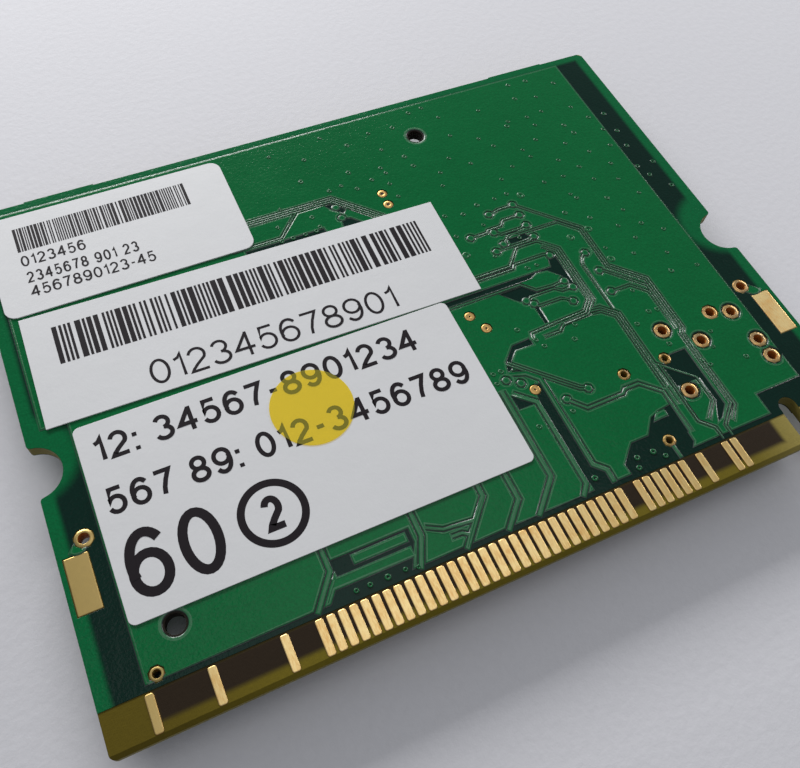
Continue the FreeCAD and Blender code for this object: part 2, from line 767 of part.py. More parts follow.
bay_y = (shield_y0 + shield_y1) / 2
digital_x = (shield_x0 + divider_x) / 2
radio_x = (divider_x + shield_x1) / 2
processor_size, processor_height = 12.0, 1.2
radio_size, radio_height, radio_left, radio_up = 6.0, 0.9, 3.5, 3.0
write("processor_chip", moulded(digital_x, bay_y, processor_size, processor_size, processor_height))
write("radio_chip", moulded(radio_x - radio_left, bay_y + radio_up, radio_size, radio_size, radio_height))
power_size, power_right, power_up = 3.0, 5.0, 5.5
switch_size, switch_height, switch_up = 2.0, 0.6, 1.2
filter_width, filter_depth, filter_right = 1.25, 2.0, 1.8
write("power_amplifier", moulded(radio_x + power_right, bay_y + power_up, power_size, power_size,
                                 radio_height))
write("antenna_switch", moulded(radio_x + power_right, bay_y + switch_up, switch_size, switch_size,
                                switch_height))
write("band_filter", hanging(radio_x + filter_right, bay_y + power_up, filter_width, filter_depth,
                             radio_height))
crystal_width, crystal_depth, crystal_rim = 5.0, 3.2, 0.2
crystal_base_height, crystal_can_height = 0.5, 0.6
crystal_x, crystal_y = radio_x - 4.0, shield_y0 + 3.4
write("crystal_base", hanging(crystal_x, crystal_y, crystal_width, crystal_depth, crystal_base_height))
write("crystal_can", hanging(crystal_x, crystal_y, crystal_width - 2 * crystal_rim,
                             crystal_depth - 2 * crystal_rim, crystal_can_height, crystal_base_height))
write("memory_chip_body", moulded(memory_x, memory_y, memory_width, memory_depth, memory_height,
                                  memory_stand))
write("memory_chip_leads", memory_chip_leads())
write("regulator_body", moulded(regulator_x, regulator_y, regulator_width, regulator_depth,
                                regulator_height, regulator_stand))
write("regulator_leads", regulator_leads())

tantalum_bodies, tantalum_ends = tantalum_capacitors(row(32.2, 10.6, 5.2, 0, 2))
write("tantalum_capacitor_bodies", tantalum_bodies)
write("tantalum_capacitor_ends", tantalum_ends)

capacitor_places = (row(10.2, 5.2, 2.4, 0, 3) + row(30.4, 6.6, 2.4, 0, 3)
                    + row(digital_x - 4.5, shield_y0 + wall_room, 3.0, 0, 3)
                    + row(radio_x + 2.2, shield_y0 + wall_room, 2.4, 0, 2)
                    + row(from_right(3.6), 25.0, 0, 2.2, 3))
write_chip_parts("ceramic_capacitor", capacitor_places, 1.6, 0.8, 0.8)
write_chip_parts("resistor", row(24.0, board_depth - 4.6, 2.3, 0, 3) + row(18.6, 5.2, 2.2, 0, 3)
                 + row(digital_x - 4.5, shield_y1 - wall_room, 3.0, 0, 4), 1.6, 0.8, 0.45)
write_chip_parts("resistor_array", row(28.0, 4.6, 0, 0, 1) + row(40.0, 4.6, 4.0, 0, 2), 3.2, 1.6, 0.55)
write_chip_parts("ferrite_bead", row(2.6, board_depth - 14.45, 0, 3.0, 3), 2.0, 1.25, 0.9, False)

write("antenna_socket_bases", [socket_base_block(x, y) for x, y in socket_places()])
write("antenna_socket_shells", [socket_shell(x, y) for x, y in socket_places()])
write("antenna_socket_pins", [socket_pin(x, y) for x, y in socket_places()])
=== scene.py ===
import math
import random

import bmesh
import bpy
from mathutils import Matrix, Vector
from mathutils.bvhtree import BVHTree


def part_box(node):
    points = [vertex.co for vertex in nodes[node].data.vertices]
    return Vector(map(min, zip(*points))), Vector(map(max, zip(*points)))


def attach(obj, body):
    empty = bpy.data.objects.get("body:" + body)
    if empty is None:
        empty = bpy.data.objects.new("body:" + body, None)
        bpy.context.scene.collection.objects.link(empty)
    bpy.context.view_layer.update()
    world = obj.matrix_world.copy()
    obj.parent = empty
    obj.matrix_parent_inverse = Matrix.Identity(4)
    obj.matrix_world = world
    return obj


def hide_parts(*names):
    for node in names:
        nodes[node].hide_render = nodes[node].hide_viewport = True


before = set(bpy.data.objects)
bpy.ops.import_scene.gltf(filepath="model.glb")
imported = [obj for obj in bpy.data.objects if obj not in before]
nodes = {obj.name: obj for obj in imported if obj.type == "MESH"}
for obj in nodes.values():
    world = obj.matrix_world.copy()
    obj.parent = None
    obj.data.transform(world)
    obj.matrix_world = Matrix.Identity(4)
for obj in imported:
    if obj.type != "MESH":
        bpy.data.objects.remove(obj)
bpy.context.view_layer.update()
print("frame loaded,", len(nodes), "nodes")

# Plan places are in millimetres from the lower left corner of the board, contact edge along y = 0.
# Heights are in millimetres above the laminate's solder face.
boardLow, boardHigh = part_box("circuit_board")
boardWidth = (boardHigh.x - boardLow.x) * 1000
boardDepth = (boardHigh.y - boardLow.y) * 1000


def levelOf(name, side):  # the lowest (0) or highest (1) level of a node
    return (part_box(name)[side].z - boardHigh.z) * 1000


coatTop = levelOf("back_circuit_layer", 1)
coatBottom = levelOf("front_circuit_layer", 0)
labelTop = levelOf("part_label", 1)
dotTop = levelOf("round_sticker", 1)


def spot(x, y, z=0.0):
    return Vector((boardLow.x + x / 1000, boardLow.y + y / 1000, boardHigh.z + z / 1000))


def tone(red, green, blue):  # a screen colour, 0 to 255, as the shader wants it
    parts = [c / 255 for c in (red, green, blue)]
    return tuple(c / 12.92 if c < 0.04 else ((c + 0.055) / 1.055) ** 2.4 for c in parts) + (1.0,)


# Shader maths: one socket that can be added, multiplied and compared like a number
class Wire:
    def __init__(self, paint, socket):
        self.paint = paint
        self.socket = socket

    def maths(self, operation, *others):
        return self.paint.add("ShaderNodeMath", {"operation": operation}, dict(enumerate((self,) + others)))

    def turned(self, operation, other):
        return self.paint.add("ShaderNodeMath", {"operation": operation}, {0: other, 1: self})

    def __add__(self, other):
        return self.maths("ADD", other)

    def __radd__(self, other):
        return self.turned("ADD", other)

    def __sub__(self, other):
        return self.maths("SUBTRACT", other)

    def __rsub__(self, other):
        return self.turned("SUBTRACT", other)

    def __mul__(self, other):
        return self.maths("MULTIPLY", other)

    def __rmul__(self, other):
        return self.turned("MULTIPLY", other)

    def __truediv__(self, other):
        return self.maths("DIVIDE", other)

    def __abs__(self):
        return self.maths("ABSOLUTE")

    def most(self, other):
        return self.maths("MAXIMUM", other)

    def ramp(self, low, high, start=0.0, end=1.0):  # a soft step from start to end
        values = {0: self, 1: low, 2: high, 3: start, 4: end}
        return self.paint.add("ShaderNodeMapRange", {"interpolation_type": "SMOOTHSTEP"}, values)


class Paint:
    def __init__(self, name):
        self.material = bpy.data.materials.new(name)
        self.material.use_nodes = True
        self.tree = self.material.node_tree
        self.tree.nodes.clear()
        place = self.add("ShaderNodeTexCoord", output="Object")
        self.place = self.add("ShaderNodeVectorMath", {"operation": "SCALE"}, {0: place, "Scale": 1000.0})
        self.x, self.y, self.z = self.millimetres()

    def add(self, kind, settings=None, values=None, output=0):  # one node, its settings before its values
        node = self.tree.nodes.new(kind)
        for key, value in (settings or {}).items():
            setattr(node, key, value)
        for key, value in (values or {}).items():
            if isinstance(value, Wire):
                self.tree.links.new(value.socket, node.inputs[key])
            else:
                node.inputs[key].default_value = value
        return Wire(self, node.outputs[output])

    def millimetres(self):
        split = self.add("ShaderNodeSeparateXYZ", None, {0: self.place})
        outputs = split.socket.node.outputs
        x, y, z = (Wire(self, outputs[k]) for k in range(3))
        return x - boardLow.x * 1000, y - boardLow.y * 1000, z - boardHigh.z * 1000

    def noise(self, scale, detail=2.0, roughness=0.5, stretch=(1, 1, 1)):
        where = self.add("ShaderNodeVectorMath", {"operation": "MULTIPLY"}, {0: self.place, 1: stretch})
        values = {"Vector": where, "Scale": scale, "Detail": detail, "Roughness": roughness}
        return self.add("ShaderNodeTexNoise", None, values)

    def cells(self, scale):
        return self.add("ShaderNodeTexVoronoi", None, {"Vector": self.place, "Scale": scale})

    def mix(self, first, second, factor, blend="MIX"):
        settings = {"data_type": "RGBA", "blend_type": blend}
        return self.add("ShaderNodeMix", settings, {0: factor, 6: first, 7: second}, 2)

    def shade(self, colour, amount):  # a colour made darker or lighter by a number
        value = self.add("ShaderNodeCombineColor", None, {0: amount, 1: amount, 2: amount})
        return self.mix(colour, value, 1.0, "MULTIPLY")

    def inside(self, x0, y0, x1, y1, soft):  # 1 inside a rectangle, 0 outside it
        across = abs(self.x - (x0 + x1) / 2) - (x1 - x0) / 2
        along = abs(self.y - (y0 + y1) / 2) - (y1 - y0) / 2
        return across.most(along).ramp(-soft / 2, soft / 2, 1.0, 0.0)

    def near(self, x, y, radius, soft):  # 1 inside a circle
        across, along = self.x - x, self.y - y
        far = (across * across + along * along).maths("SQRT")
        return far.ramp(radius - soft / 2, radius + soft / 2, 1.0, 0.0)

    def facing(self):  # how level the surface is, 0 on a wall
        normal = self.add("ShaderNodeNewGeometry", output="Normal")
        split = self.add("ShaderNodeSeparateXYZ", None, {0: normal}, 2)
        return abs(split)

    def rounding(self, radius):  # shades hard edges as if they were rounded, radius in millimetres
        return self.add("ShaderNodeBevel", {"samples": 6}, {"Radius": radius / 1000})

    def bump(self, height, depth, strength=1.0, normal=None):  # depth in millimetres
        values = {"Height": height, "Distance": depth / 1000, "Strength": strength}
        if normal:
            values["Normal"] = normal
        return self.add("ShaderNodeBump", None, values)

    def surface(self, values):
        return self.add("ShaderNodeBsdfPrincipled", None, values)

    def finish(self, shader):
        last = self.tree.nodes.new("ShaderNodeOutputMaterial")
        self.tree.links.new(shader.socket, last.inputs["Surface"])
        return self.material

    def plain(self, values):  # a material of one plain surface
        return self.finish(self.surface(values))


# Camera: where the photo was taken from, close over the left end of the contact edge
camera = {
    "place": (10.235, -8.489, 52.78),
    "right": (0.908, -0.41383, 0.06545),
    "up": (0.3333, 0.8081, 0.48568),
    "ahead": (0.25388, 0.41918, -0.87168),
    "lens": 35.92,
    "shiftX": 0.0167,
    "shiftY": 0.0022,
}


def makeCamera():
    data = bpy.data.cameras.new("camera")
    data.sensor_width = 36.0
    data.lens = camera["lens"]
    data.shift_x = camera["shiftX"]
    data.shift_y = camera["shiftY"]
    data.clip_start = 0.001
    holder = bpy.data.objects.new("camera", data)
    right, up, ahead = (Vector(camera[k]).normalized() for k in ("right", "up", "ahead"))
    turn = Matrix((right, up, -ahead)).transposed().to_4x4()
    holder.matrix_world = Matrix.Translation(spot(*camera["place"])) @ turn
    bpy.context.scene.collection.objects.link(holder)
    bpy.context.scene.camera = holder


makeCamera()
print("camera set")

# Room: pale table, soft lamps and an even sky
room = {
    "tableTone": (204, 203, 207),
    "tableSize": 3.0,
    "skyTone": (236, 240, 246),
    "skyStrength": 0.38,
    "lamps": [  # name, place, aimed at, width, depth, watts
        ("window", (20, 400, 155), (30, 22, 0), 340, 96, 2.1),
        ("fill", (90, 60, 420), (30, 22, 0), 260, 260, 0.16),
        ("rightStrip", (430, 120, 108), (30, 22, 0), 240, 56, 0.45),
    ],
}


def makeLamp(name, place, target, width, depth, watts):
    data = bpy.data.lights.new(name, "AREA")
    data.shape = "RECTANGLE"
    data.size = width / 1000
    data.size_y = depth / 1000
    data.energy = watts
    lamp = bpy.data.objects.new(name, data)
    lamp.location = spot(*place)
    lamp.rotation_euler = (spot(*target) - spot(*place)).to_track_quat("-Z", "Y").to_euler()
    bpy.context.scene.collection.objects.link(lamp)


def makeRoom():
    size = room["tableSize"] / 2
    bm = bmesh.new()
    corners = [bm.verts.new((x * size, y * size, 0)) for x, y in ((-1, -1), (1, -1), (1, 1), (-1, 1))]
    bm.faces.new(corners)
    mesh = bpy.data.meshes.new("table")
    bm.to_mesh(mesh)
    bm.free()
    table = bpy.data.objects.new("table", mesh)
    bpy.context.scene.collection.objects.link(table)
    paint = Paint("tableTop")
    grain = paint.noise(1.6, 3.0, 0.6)
    cloud = paint.noise(0.02, 2.0)
    colour = paint.shade(tone(*room["tableTone"]), 0.94 + 0.08 * grain + 0.06 * cloud)
    bump = paint.bump(grain, 0.05, 0.5)
    values = {"Base Color": colour, "Roughness": 0.7, "Specular IOR Level": 0.35, "Normal": bump}
    mesh.materials.append(paint.plain(values))
    world = bpy.data.worlds.new("sky")
    bpy.context.scene.world = world
    world.use_nodes = True
    back = world.node_tree.nodes["Background"]
    back.inputs["Color"].default_value = tone(*room["skyTone"])
    back.inputs["Strength"].default_value = room["skyStrength"]
    for lamp in room["lamps"]:
        makeLamp(*lamp)
    bpy.context.scene.view_settings.view_transform = "Standard"


makeRoom()
print("room set")

# Coating: green over copper, nearly black over the inner plane, clearer green at the rim
coating = {
    "copper": (3, 92, 47),
    "plane": (3, 34, 26),
    "rim": (2, 92, 50),
    "rimSide": 0.95,
    "rimTop": 0.8,
    "notchY": 20.9,
    "notchClear": 3.3,
    "roughness": 0.1,
    "specular": 0.17,
    "edgeRound": 0.05,
    "beadRoughness": 0.24,
    "beadSpecular": 0.75,
    "viaSpecular": 0.3,
    "peel": 0.026,
    "thin": 0.42,
}


def coatPaint(name, copperLevel, bareLevel, roughness, specular):
    paint = Paint(name)
    copper = paint.z.ramp(bareLevel, copperLevel)
    side, top = coating["rimSide"], coating["rimTop"]
    plane = paint.inside(side, -5, boardWidth - side, boardDepth - top, 0.5)
    for edge in (0, boardWidth):
        plane = plane * (1 - paint.near(edge, coating["notchY"], coating["notchClear"], 1.2))
    colour = paint.mix(tone(*coating["rim"]), tone(*coating["plane"]), plane)
    weave = paint.noise(2.2, 2.0, 0.5, (1, 6, 1)) * paint.noise(2.2, 2.0, 0.5, (6, 1, 1))
    colour = paint.shade(colour, 0.86 + 0.5 * weave)
    colour = paint.mix(colour, tone(*coating["copper"]), copper)
    patches = paint.noise(0.16, 3.0, 0.6)
    speck = paint.noise(6.0, 2.0, 0.7)
    colour = paint.shade(colour, 0.6 + 0.2 * patches + 0.6 * speck)
    # sloping coat is painted darker: partly the thinner coat over copper edges, partly painted shade on the
    # slopes and via dimples
    colour = paint.shade(colour, paint.facing().ramp(0.8, 0.985, coating["thin"], 1.0))
    rough = roughness + 0.06 * patches + 0.06 * speck
    peel = paint.noise(4.2, 2.0, 0.6)
    swell = paint.noise(0.8, 2.0, 0.5)
    grain = peel + 1.2 * swell + 0.1 * speck
    bump = paint.bump(grain, coating["peel"], 1.0, paint.rounding(coating["edgeRound"]))
    values = {"Base Color": colour, "Roughness": rough, "Specular IOR Level": specular, "Normal": bump}
    return paint.plain(values)


backLevels = (coatTop - 0.008, 0.052)  # where the coating counts as lying on copper, and as bare
frontLevels = (coatBottom + 0.012, coatBottom + 0.04)
backCoat = coatPaint("greenCoatBack", *backLevels, coating["roughness"], coating["specular"])
edgeCoat = coatPaint("greenCoatEdge", *backLevels, coating["beadRoughness"], coating["beadSpecular"])
viaCoat = coatPaint("greenCoatVia", *backLevels, coating["beadRoughness"], coating["viaSpecular"])
frontCoat = coatPaint("greenCoatFront", *frontLevels, coating["roughness"], coating["specular"])

# Two plain tool holes, each with a rolled lip of coating
toolHole = {
    "places": ((5.85, 6.2), (38.95, 39.8)),
    "inner": 0.8,
    "outer": 1.08,
}

# Laminate: olive glass epoxy, brown where the inner copper reaches below the contacts
laminate = {
    "olive": (100, 88, 18),
    "oliveLitRight": (158, 144, 84),
    "oliveShadedLeft": (84, 72, 12),
    "brown": (38, 28, 16),
    "side": (118, 108, 52),
    "holeShade": (34, 28, 20),
    "innerCopper": (3.3, 0.95, 51.6, 2.95),
}


def laminatePaint():
    paint = Paint("laminate")
    weft = paint.noise(3.0, 1.0, 0.5, (1, 7, 1))
    warp = paint.noise(3.0, 1.0, 0.5, (7, 1, 1))
    inner = paint.inside(*laminate["innerCopper"], 0.5)
    # painted shade and light: the bare laminate is painted darker towards the left end and paler towards the
    # right end
    colour = paint.mix(tone(*laminate["oliveShadedLeft"]), tone(*laminate["olive"]), paint.x.ramp(2, 14))
    colour = paint.mix(colour, tone(*laminate["oliveLitRight"]), paint.x.ramp(47, 58))
    colour = paint.mix(colour, tone(*laminate["brown"]), inner)
    colour = paint.shade(colour, 0.75 + 0.35 * weft + 0.25 * warp)
    layers = paint.noise(2.0, 2.0, 0.5, (0.3, 0.3, 9))
    side = paint.shade(tone(*laminate["side"]), 0.6 + 0.7 * layers)
    level = paint.facing().ramp(0.5, 0.8)
    colour = paint.mix(side, colour, level)
    # painted shade: the laminate round and inside the two tool holes is painted nearly black
    holes = paint.near(*toolHole["places"][0], 1.1, 0.1).most(paint.near(*toolHole["places"][1], 1.1, 0.1))
    colour = paint.mix(colour, tone(*laminate["holeShade"]), holes)
    bump = paint.bump(weft + warp + layers, 0.01, 0.8, paint.rounding(0.04))
    values = {"Base Color": colour, "Roughness": 0.42 + 0.15 * weft, "Specular IOR Level": 0.12,
              "Normal": bump}
    return paint.plain(values)


# Gold: matt plating with fine wipe marks along the way the card slides in
gold = {
    "tone": (255, 226, 160),
    "worn": (236, 186, 112),
    # painted shade for the sides and rolled rims of the gold
    "edge": (138, 80, 28),
    "dotTone": (186, 154, 98),
    "ringTone": (178, 152, 114),
    "dullTone": (98, 98, 64),
    "shadeTone": (192, 166, 104),
    "bore": (176, 108, 40),
    "pit": (58, 44, 24),
    # painted shade: this dark tone stands for the shade down the holes in the test dots
    "roughness": 0.36,
    "dullRoughness": 0.42,
    "shadeFrom": (27, 42),  # painted shade: the contacts are painted darker along here, and lighter again along the next span
    "shadeTo": (50, 56),
    "shadeShare": 0.45,
    "edgeRound": 0.03,
}


def borePaint(name, lining):
    paint = Paint(name)
    grain = paint.noise(8.0, 3.0, 0.6, (1, 1, 0.3))
    colour = paint.shade(tone(*gold[lining]), 0.7 + 0.5 * grain)
    return paint.plain({"Base Color": colour, "Metallic": 0.35, "Roughness": 0.5 + 0.15 * grain})


def goldPaint(name, roughness, wipe, fresh="tone"):
    paint = Paint(name)
    marks = paint.noise(9.0, 3.0, 0.6, (1, 0.2, 1)) if wipe else paint.noise(6.0, 3.0, 0.6)
    cloud = paint.noise(0.6, 3.0, 0.6)
    worn = (marks * 0.5 + cloud * 0.5).ramp(0.38, 0.7)
    colour = paint.mix(tone(*gold[fresh]), tone(*gold["worn"]), worn)
    # painted shade: the contacts are painted darker towards the left end
    colour = paint.mix(tone(*gold["shadeTone"]), colour, paint.x.ramp(0.5, 10.5))
    if wipe:
        # painted shade along the middle of the contact row
        paintedShade = paint.x.ramp(*gold["shadeFrom"]) * (1 - paint.x.ramp(*gold["shadeTo"]))
        colour = paint.mix(colour, tone(*gold["shadeTone"]), gold["shadeShare"] * paintedShade)
    # painted shade: side faces and rolled rims are painted a darker orange-brown
    colour = paint.mix(tone(*gold["edge"]), colour, paint.facing().ramp(0.5, 0.97))
    rough = roughness - 0.05 + 0.14 * marks
    bump = paint.bump(marks, 0.002, 0.7, paint.rounding(gold["edgeRound"]))
    values = {"Base Color": colour, "Metallic": 1.0, "Roughness": rough, "Normal": bump}
    return paint.plain(values)


# Paper labels, print and the yellow dot
paper = {
    "tone": (207, 207, 208),
    "ink": (26, 21, 25),
    "whiteInk": (216, 216, 206),
    "greyMark": (138, 138, 134),
    "film": (255, 244, 96),
    "filmSheer": (255, 234, 116),
    "filmClear": 0.82,
}


def paperPaint():
    paint = Paint("labelPaper")
    fibre = paint.noise(5.0, 4.0, 0.7)
    cloud = paint.noise(0.12, 2.0)
    colour = paint.shade(tone(*paper["tone"]), 0.93 + 0.05 * fibre + 0.05 * cloud)
    bump = paint.bump(fibre + 3.0 * paint.noise(0.5, 2.0), 0.012, 0.6, paint.rounding(0.04))
    return paint.plain({"Base Color": colour, "Roughness": 0.5 + 0.1 * fibre, "Normal": bump})


def inkPaint(name, ink):
    paint = Paint(name)
    speckle = paint.noise(16.0, 2.0, 0.7)
    colour = paint.shade(tone(*ink), 0.7 + 0.8 * speckle if ink[0] < 60 else 0.8 + 0.4 * speckle)
    return paint.plain({"Base Color": colour, "Roughness": 0.5 + 0.1 * speckle, "Specular IOR Level": 0.12})


def filmPaint():
    paint = Paint("yellowFilm")
    fibre = paint.noise(4.0, 3.0, 0.7)
    colour = paint.shade(tone(*paper["film"]), 0.92 + 0.14 * fibre)
    body = paint.surface({"Base Color": colour, "Roughness": 0.4 + 0.1 * fibre})
    sheer = paint.add("ShaderNodeBsdfTransparent", None, {"Color": tone(*paper["filmSheer"])})
    return paint.finish(paint.add("ShaderNodeMixShader", None, {0: paper["filmClear"], 1: body, 2: sheer}))


# Shield sheet, solder, moulded packages and small parts
metals = {
    "shield": {
        "tone": (196, 196, 194),
        "roughness": 0.3,
        "grain": (1, 0.06, 1),
        "presses": [(9.1, 26.1), (50.3, 26.1)] + [(x, y) for y in (16.1, 36.1) for x in (12, 21, 30, 39, 48)],
    },
    "solder": {"tone": (204, 205, 208), "roughness": 0.25, "grain": (1, 1, 1), "presses": []},
}
packages = {
    "blackResin": {"tone": (30, 30, 32), "fleck": (70, 70, 74), "roughness": 0.62},
    "tantalumResin": {"tone": (196, 134, 44), "fleck": (232, 190, 110), "roughness": 0.5},
    "tanCeramic": {"tone": (164, 128, 92), "fleck": (190, 160, 124), "roughness": 0.45},
    "paleCeramic": {"tone": (222, 218, 206), "fleck": (240, 238, 230), "roughness": 0.4},
    "ivoryPlastic": {"tone": (226, 216, 190), "fleck": (240, 234, 214), "roughness": 0.45},
}


def metalPaint(name):
    look = metals[name]
    paint = Paint(name + "Metal")
    grain = paint.noise(8.0, 3.0, 0.6, look["grain"])
    cloud = paint.noise(0.25, 3.0, 0.6)
    colour = paint.shade(tone(*look["tone"]), 0.82 + 0.2 * grain + 0.14 * cloud)
    height = grain
    for x, y in look["presses"]:  # round marks of the press tool in the lid
        height = height + 5.0 * paint.near(x, y, 0.5, 0.35)
    bump = paint.bump(height, 0.004, 0.7, paint.rounding(0.06))
    rough = look["roughness"] + 0.14 * grain + 0.08 * cloud
    return paint.plain({"Base Color": colour, "Metallic": 1.0, "Roughness": rough, "Normal": bump})


def packagePaint(name):
    look = packages[name]
    paint = Paint(name)
    pits = paint.cells(10.0)
    grain = paint.noise(12.0, 3.0, 0.7)
    colour = paint.mix(tone(*look["tone"]), tone(*look["fleck"]), grain.ramp(0.55, 0.8) * 0.4)
    bump = paint.bump(pits + grain, 0.01, 0.7, paint.rounding(0.06))
    rough = look["roughness"] + 0.12 * grain
    return paint.plain({"Base Color": colour, "Roughness": rough, "Normal": bump})


laminateFinish = laminatePaint()
fingerGold = goldPaint("fingerGold", gold["roughness"], True)
ringGold = goldPaint("ringGold", gold["roughness"] - 0.04, False, "ringTone")
smallRingGold = goldPaint("smallRingGold", gold["dullRoughness"], False, "dullTone")
dotGold = goldPaint("dotGold", gold["roughness"], False, "dotTone")
boreLining = borePaint("boreLining", "bore")
dotHoleShade = borePaint("dotHoleShade", "pit")
labelPaper = paperPaint()
blackInk = inkPaint("blackInk", paper["ink"])
whiteInk = inkPaint("whiteInk", paper["whiteInk"])
greyMark = inkPaint("greyMark", paper["greyMark"])
yellowFilm = filmPaint()
shieldMetal = metalPaint("shield")
solderMetal = metalPaint("solder")
packageFinish = {name: packagePaint(name) for name in packages}
print("finishes made")


def dress(material, *names):
    for name in names:
        mesh = nodes[name].data
        mesh.materials.clear()
        mesh.materials.append(material)


dress(laminateFinish, "circuit_board")
dress(backCoat, "back_circuit_layer")
dress(frontCoat, "front_circuit_layer")
dress(labelPaper, "part_label", "serial_label", "approval_label")
dress(shieldMetal, "shield_frame", "shield_lid", "crystal_can")
dress(solderMetal, "memory_chip_leads", "regulator_leads", "tantalum_capacitor_ends",
      "ceramic_capacitor_ends", "resistor_ends", "resistor_array_ends", "ferrite_bead_ends")
dress(ringGold, "antenna_socket_shells", "antenna_socket_pins")
dress(packageFinish["blackResin"], "processor_chip", "radio_chip", "power_amplifier", "antenna_switch",
      "memory_chip_body", "regulator_body", "resistor_bodies", "resistor_array_bodies",
      "ferrite_bead_bodies")
dress(packageFinish["paleCeramic"], "band_filter", "crystal_base")
dress(packageFinish["tanCeramic"], "ceramic_capacitor_bodies")
dress(packageFinish["tantalumResin"], "tantalum_capacitor_bodies")
dress(packageFinish["ivoryPlastic"], "antenna_socket_bases")
print("solids dressed")


# Pieces made here
def newPiece(name, bm, material, slot, *replaced):
    mesh = bpy.data.meshes.new(name)
    bm.to_mesh(mesh)
    bm.free()
    mesh.materials.append(material)
    piece = bpy.data.objects.new(name, mesh)
    bpy.context.scene.collection.objects.link(piece)
    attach(piece, "root")
    if replaced:
        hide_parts(*replaced)
    return piece


def smooth(piece, angle=40):
    for face in piece.data.polygons:
        face.use_smooth = True
    piece.data.set_sharp_from_angle(angle=math.radians(angle))


def faceDown(piece):
    for face in piece.data.polygons:
        if face.normal.z > 0.01:
            face.flip()


def centre(low, high):
    return (low.x + high.x) / 2, (low.y + high.y) / 2


def islands(name):  # the box of each solid of a node, in board millimetres
    mesh = nodes[name].data
    keys = {}
    corner = []
    for vert in mesh.vertices:
        key = tuple(round(c * 1e7) for c in vert.co)
        corner.append(keys.setdefault(key, len(keys)))
    parent = list(range(len(keys)))

    def root(k):
        while parent[k] != k:
            parent[k] = parent[parent[k]]
            k = parent[k]
        return k

    for edge in mesh.edges:
        a, b = root(corner[edge.vertices[0]]), root(corner[edge.vertices[1]])
        parent[a] = b
    found = {}
    for vert, k in zip(mesh.vertices, corner):
        found.setdefault(root(k), []).append((vert.co - spot(0, 0)) * 1000)
    boxes = []
    for points in found.values():
        low = Vector([min(p[k] for p in points) for k in range(3)])
        high = Vector([max(p[k] for p in points) for k in range(3)])
        boxes.append((low, high))
    return sorted(boxes, key=lambda b: (round(b[0].x, 3), round(b[0].y, 3), round(b[0].z, 3)))


def strip(bm, first, second, closed=False):  # faces between two rows of corners
    for k in range(0 if closed else 1, len(first)):
        bm.faces.new((first[k - 1], second[k - 1], second[k], first[k]))


def lathe(bm, x, y, profile, sides, closed=False, capped=True):  # profile: radius and height pairs
    angles = [2 * math.pi * k / sides for k in range(sides)]
    hoops = [[bm.verts.new(spot(x + radius * math.cos(a), y + radius * math.sin(a), height)) for a in angles]
             for radius, height in profile]
    for first, second in zip(hoops, hoops[1:] + hoops[:1] if closed else hoops[1:]):
        strip(bm, first, second, True)
    if capped and not closed:
        bm.faces.new(hoops[-1])


def roundedOutline(x0, y0, x1, y1, radius, steps=4):
    points = []
    for cx, cy, start in ((x1 - radius, y1 - radius, 0), (x0 + radius, y1 - radius, 90),
                          (x0 + radius, y0 + radius, 180), (x1 - radius, y0 + radius, 270)):
        for k in range(steps + 1):
            a = math.radians(start + 90 * k / steps)
            points.append((cx + radius * math.cos(a), cy + radius * math.sin(a)))
    return points


def slab(bm, x0, y0, x1, y1, low, high, radius, soft):  # a thin pad with rounded corners and a soft rim
    drop = (high - low) * 0.75
    levels = [(0, low), (0, high - drop), (soft * 0.3, high - drop * 0.45),
              (soft * 0.65, high - drop * 0.12), (soft, high)]
    hoops = []
    for inset, height in levels:
        outline = roundedOutline(x0 + inset, y0 + inset, x1 - inset, y1 - inset, max(radius - inset, 0.01))
        hoops.append([bm.verts.new(spot(x, y, height)) for x, y in outline])
    for first, second in zip(hoops, hoops[1:]):
        strip(bm, first, second, True)
    bm.faces.new(hoops[-1])
    bmesh.ops.recalc_face_normals(bm, faces=bm.faces)


def flatTops(piece):  # level faces keep their own normal beside the rolled rims
    for face in piece.data.polygons:
        if abs(face.normal.z) > 0.999:
            face.use_smooth = False


# Plated rings: a rolled gold rim at each face, round a lined hole
ring = {
    "sides": 40,
    "holeShare": 0.6,
    "smallHoleShare": 0.58,
    "rim": 0.035,
    "pit": 0.09,
    "widePit": 0.16,
    "dull": ((47.0, 10.75), (43.2, 4.6), (43.0, 10.7), (3.9, 3.72)),
}


def makeRings():
    bm = bmesh.new()
    for low, high in islands("plated_holes"):
        x, y = centre(low, high)
        radius = (high.x - low.x) / 2
        large = radius > 0.55
        hole = radius * (ring["holeShare"] if large else ring["smallHoleShare"])
        rim, top, bottom = ring["rim"], high.z, low.z
        face = top - 0.07
        profile = [(hole, bottom + rim), (hole, top - rim), (hole + rim * 0.4, top - rim * 0.25),
                   (hole + rim * 1.6, top), (radius * 0.76, top), (radius * 0.86, top - 0.016),
                   (radius, top - 0.05), (radius, face)]
        under = bottom + 0.07 if large else bottom
        if large:
            profile += [(hole + 0.05, face), (hole + 0.05, under), (radius, under), (radius, bottom + rim),
                        (radius - rim * 0.4, bottom + rim * 0.3), (radius - rim * 1.6, bottom),
                        (hole + rim * 1.6, bottom), (hole + rim * 0.4, bottom + rim * 0.25)]
        else:
            profile += [(hole + 0.05, face), (hole + 0.05, bottom), (hole, bottom)]
        lathe(bm, x, y, profile, ring["sides"], True)
    bmesh.ops.recalc_face_normals(bm, faces=bm.faces)
    piece = newPiece("plated_rings", bm, ringGold, "gold", "plated_holes")
    smooth(piece, 50)
    piece.data.materials.append(boreLining)
    piece.data.materials.append(smallRingGold)
    for face in piece.data.polygons:
        middle = (face.center - spot(0, 0)) * 1000
        if abs(face.normal.z) < 0.1 and -0.95 < middle.z < 0.02:
            face.material_index = 1
        elif any(math.dist(middle[:2], place) < 0.5 for place in ring["dull"]):
            face.material_index = 2


makeRings()


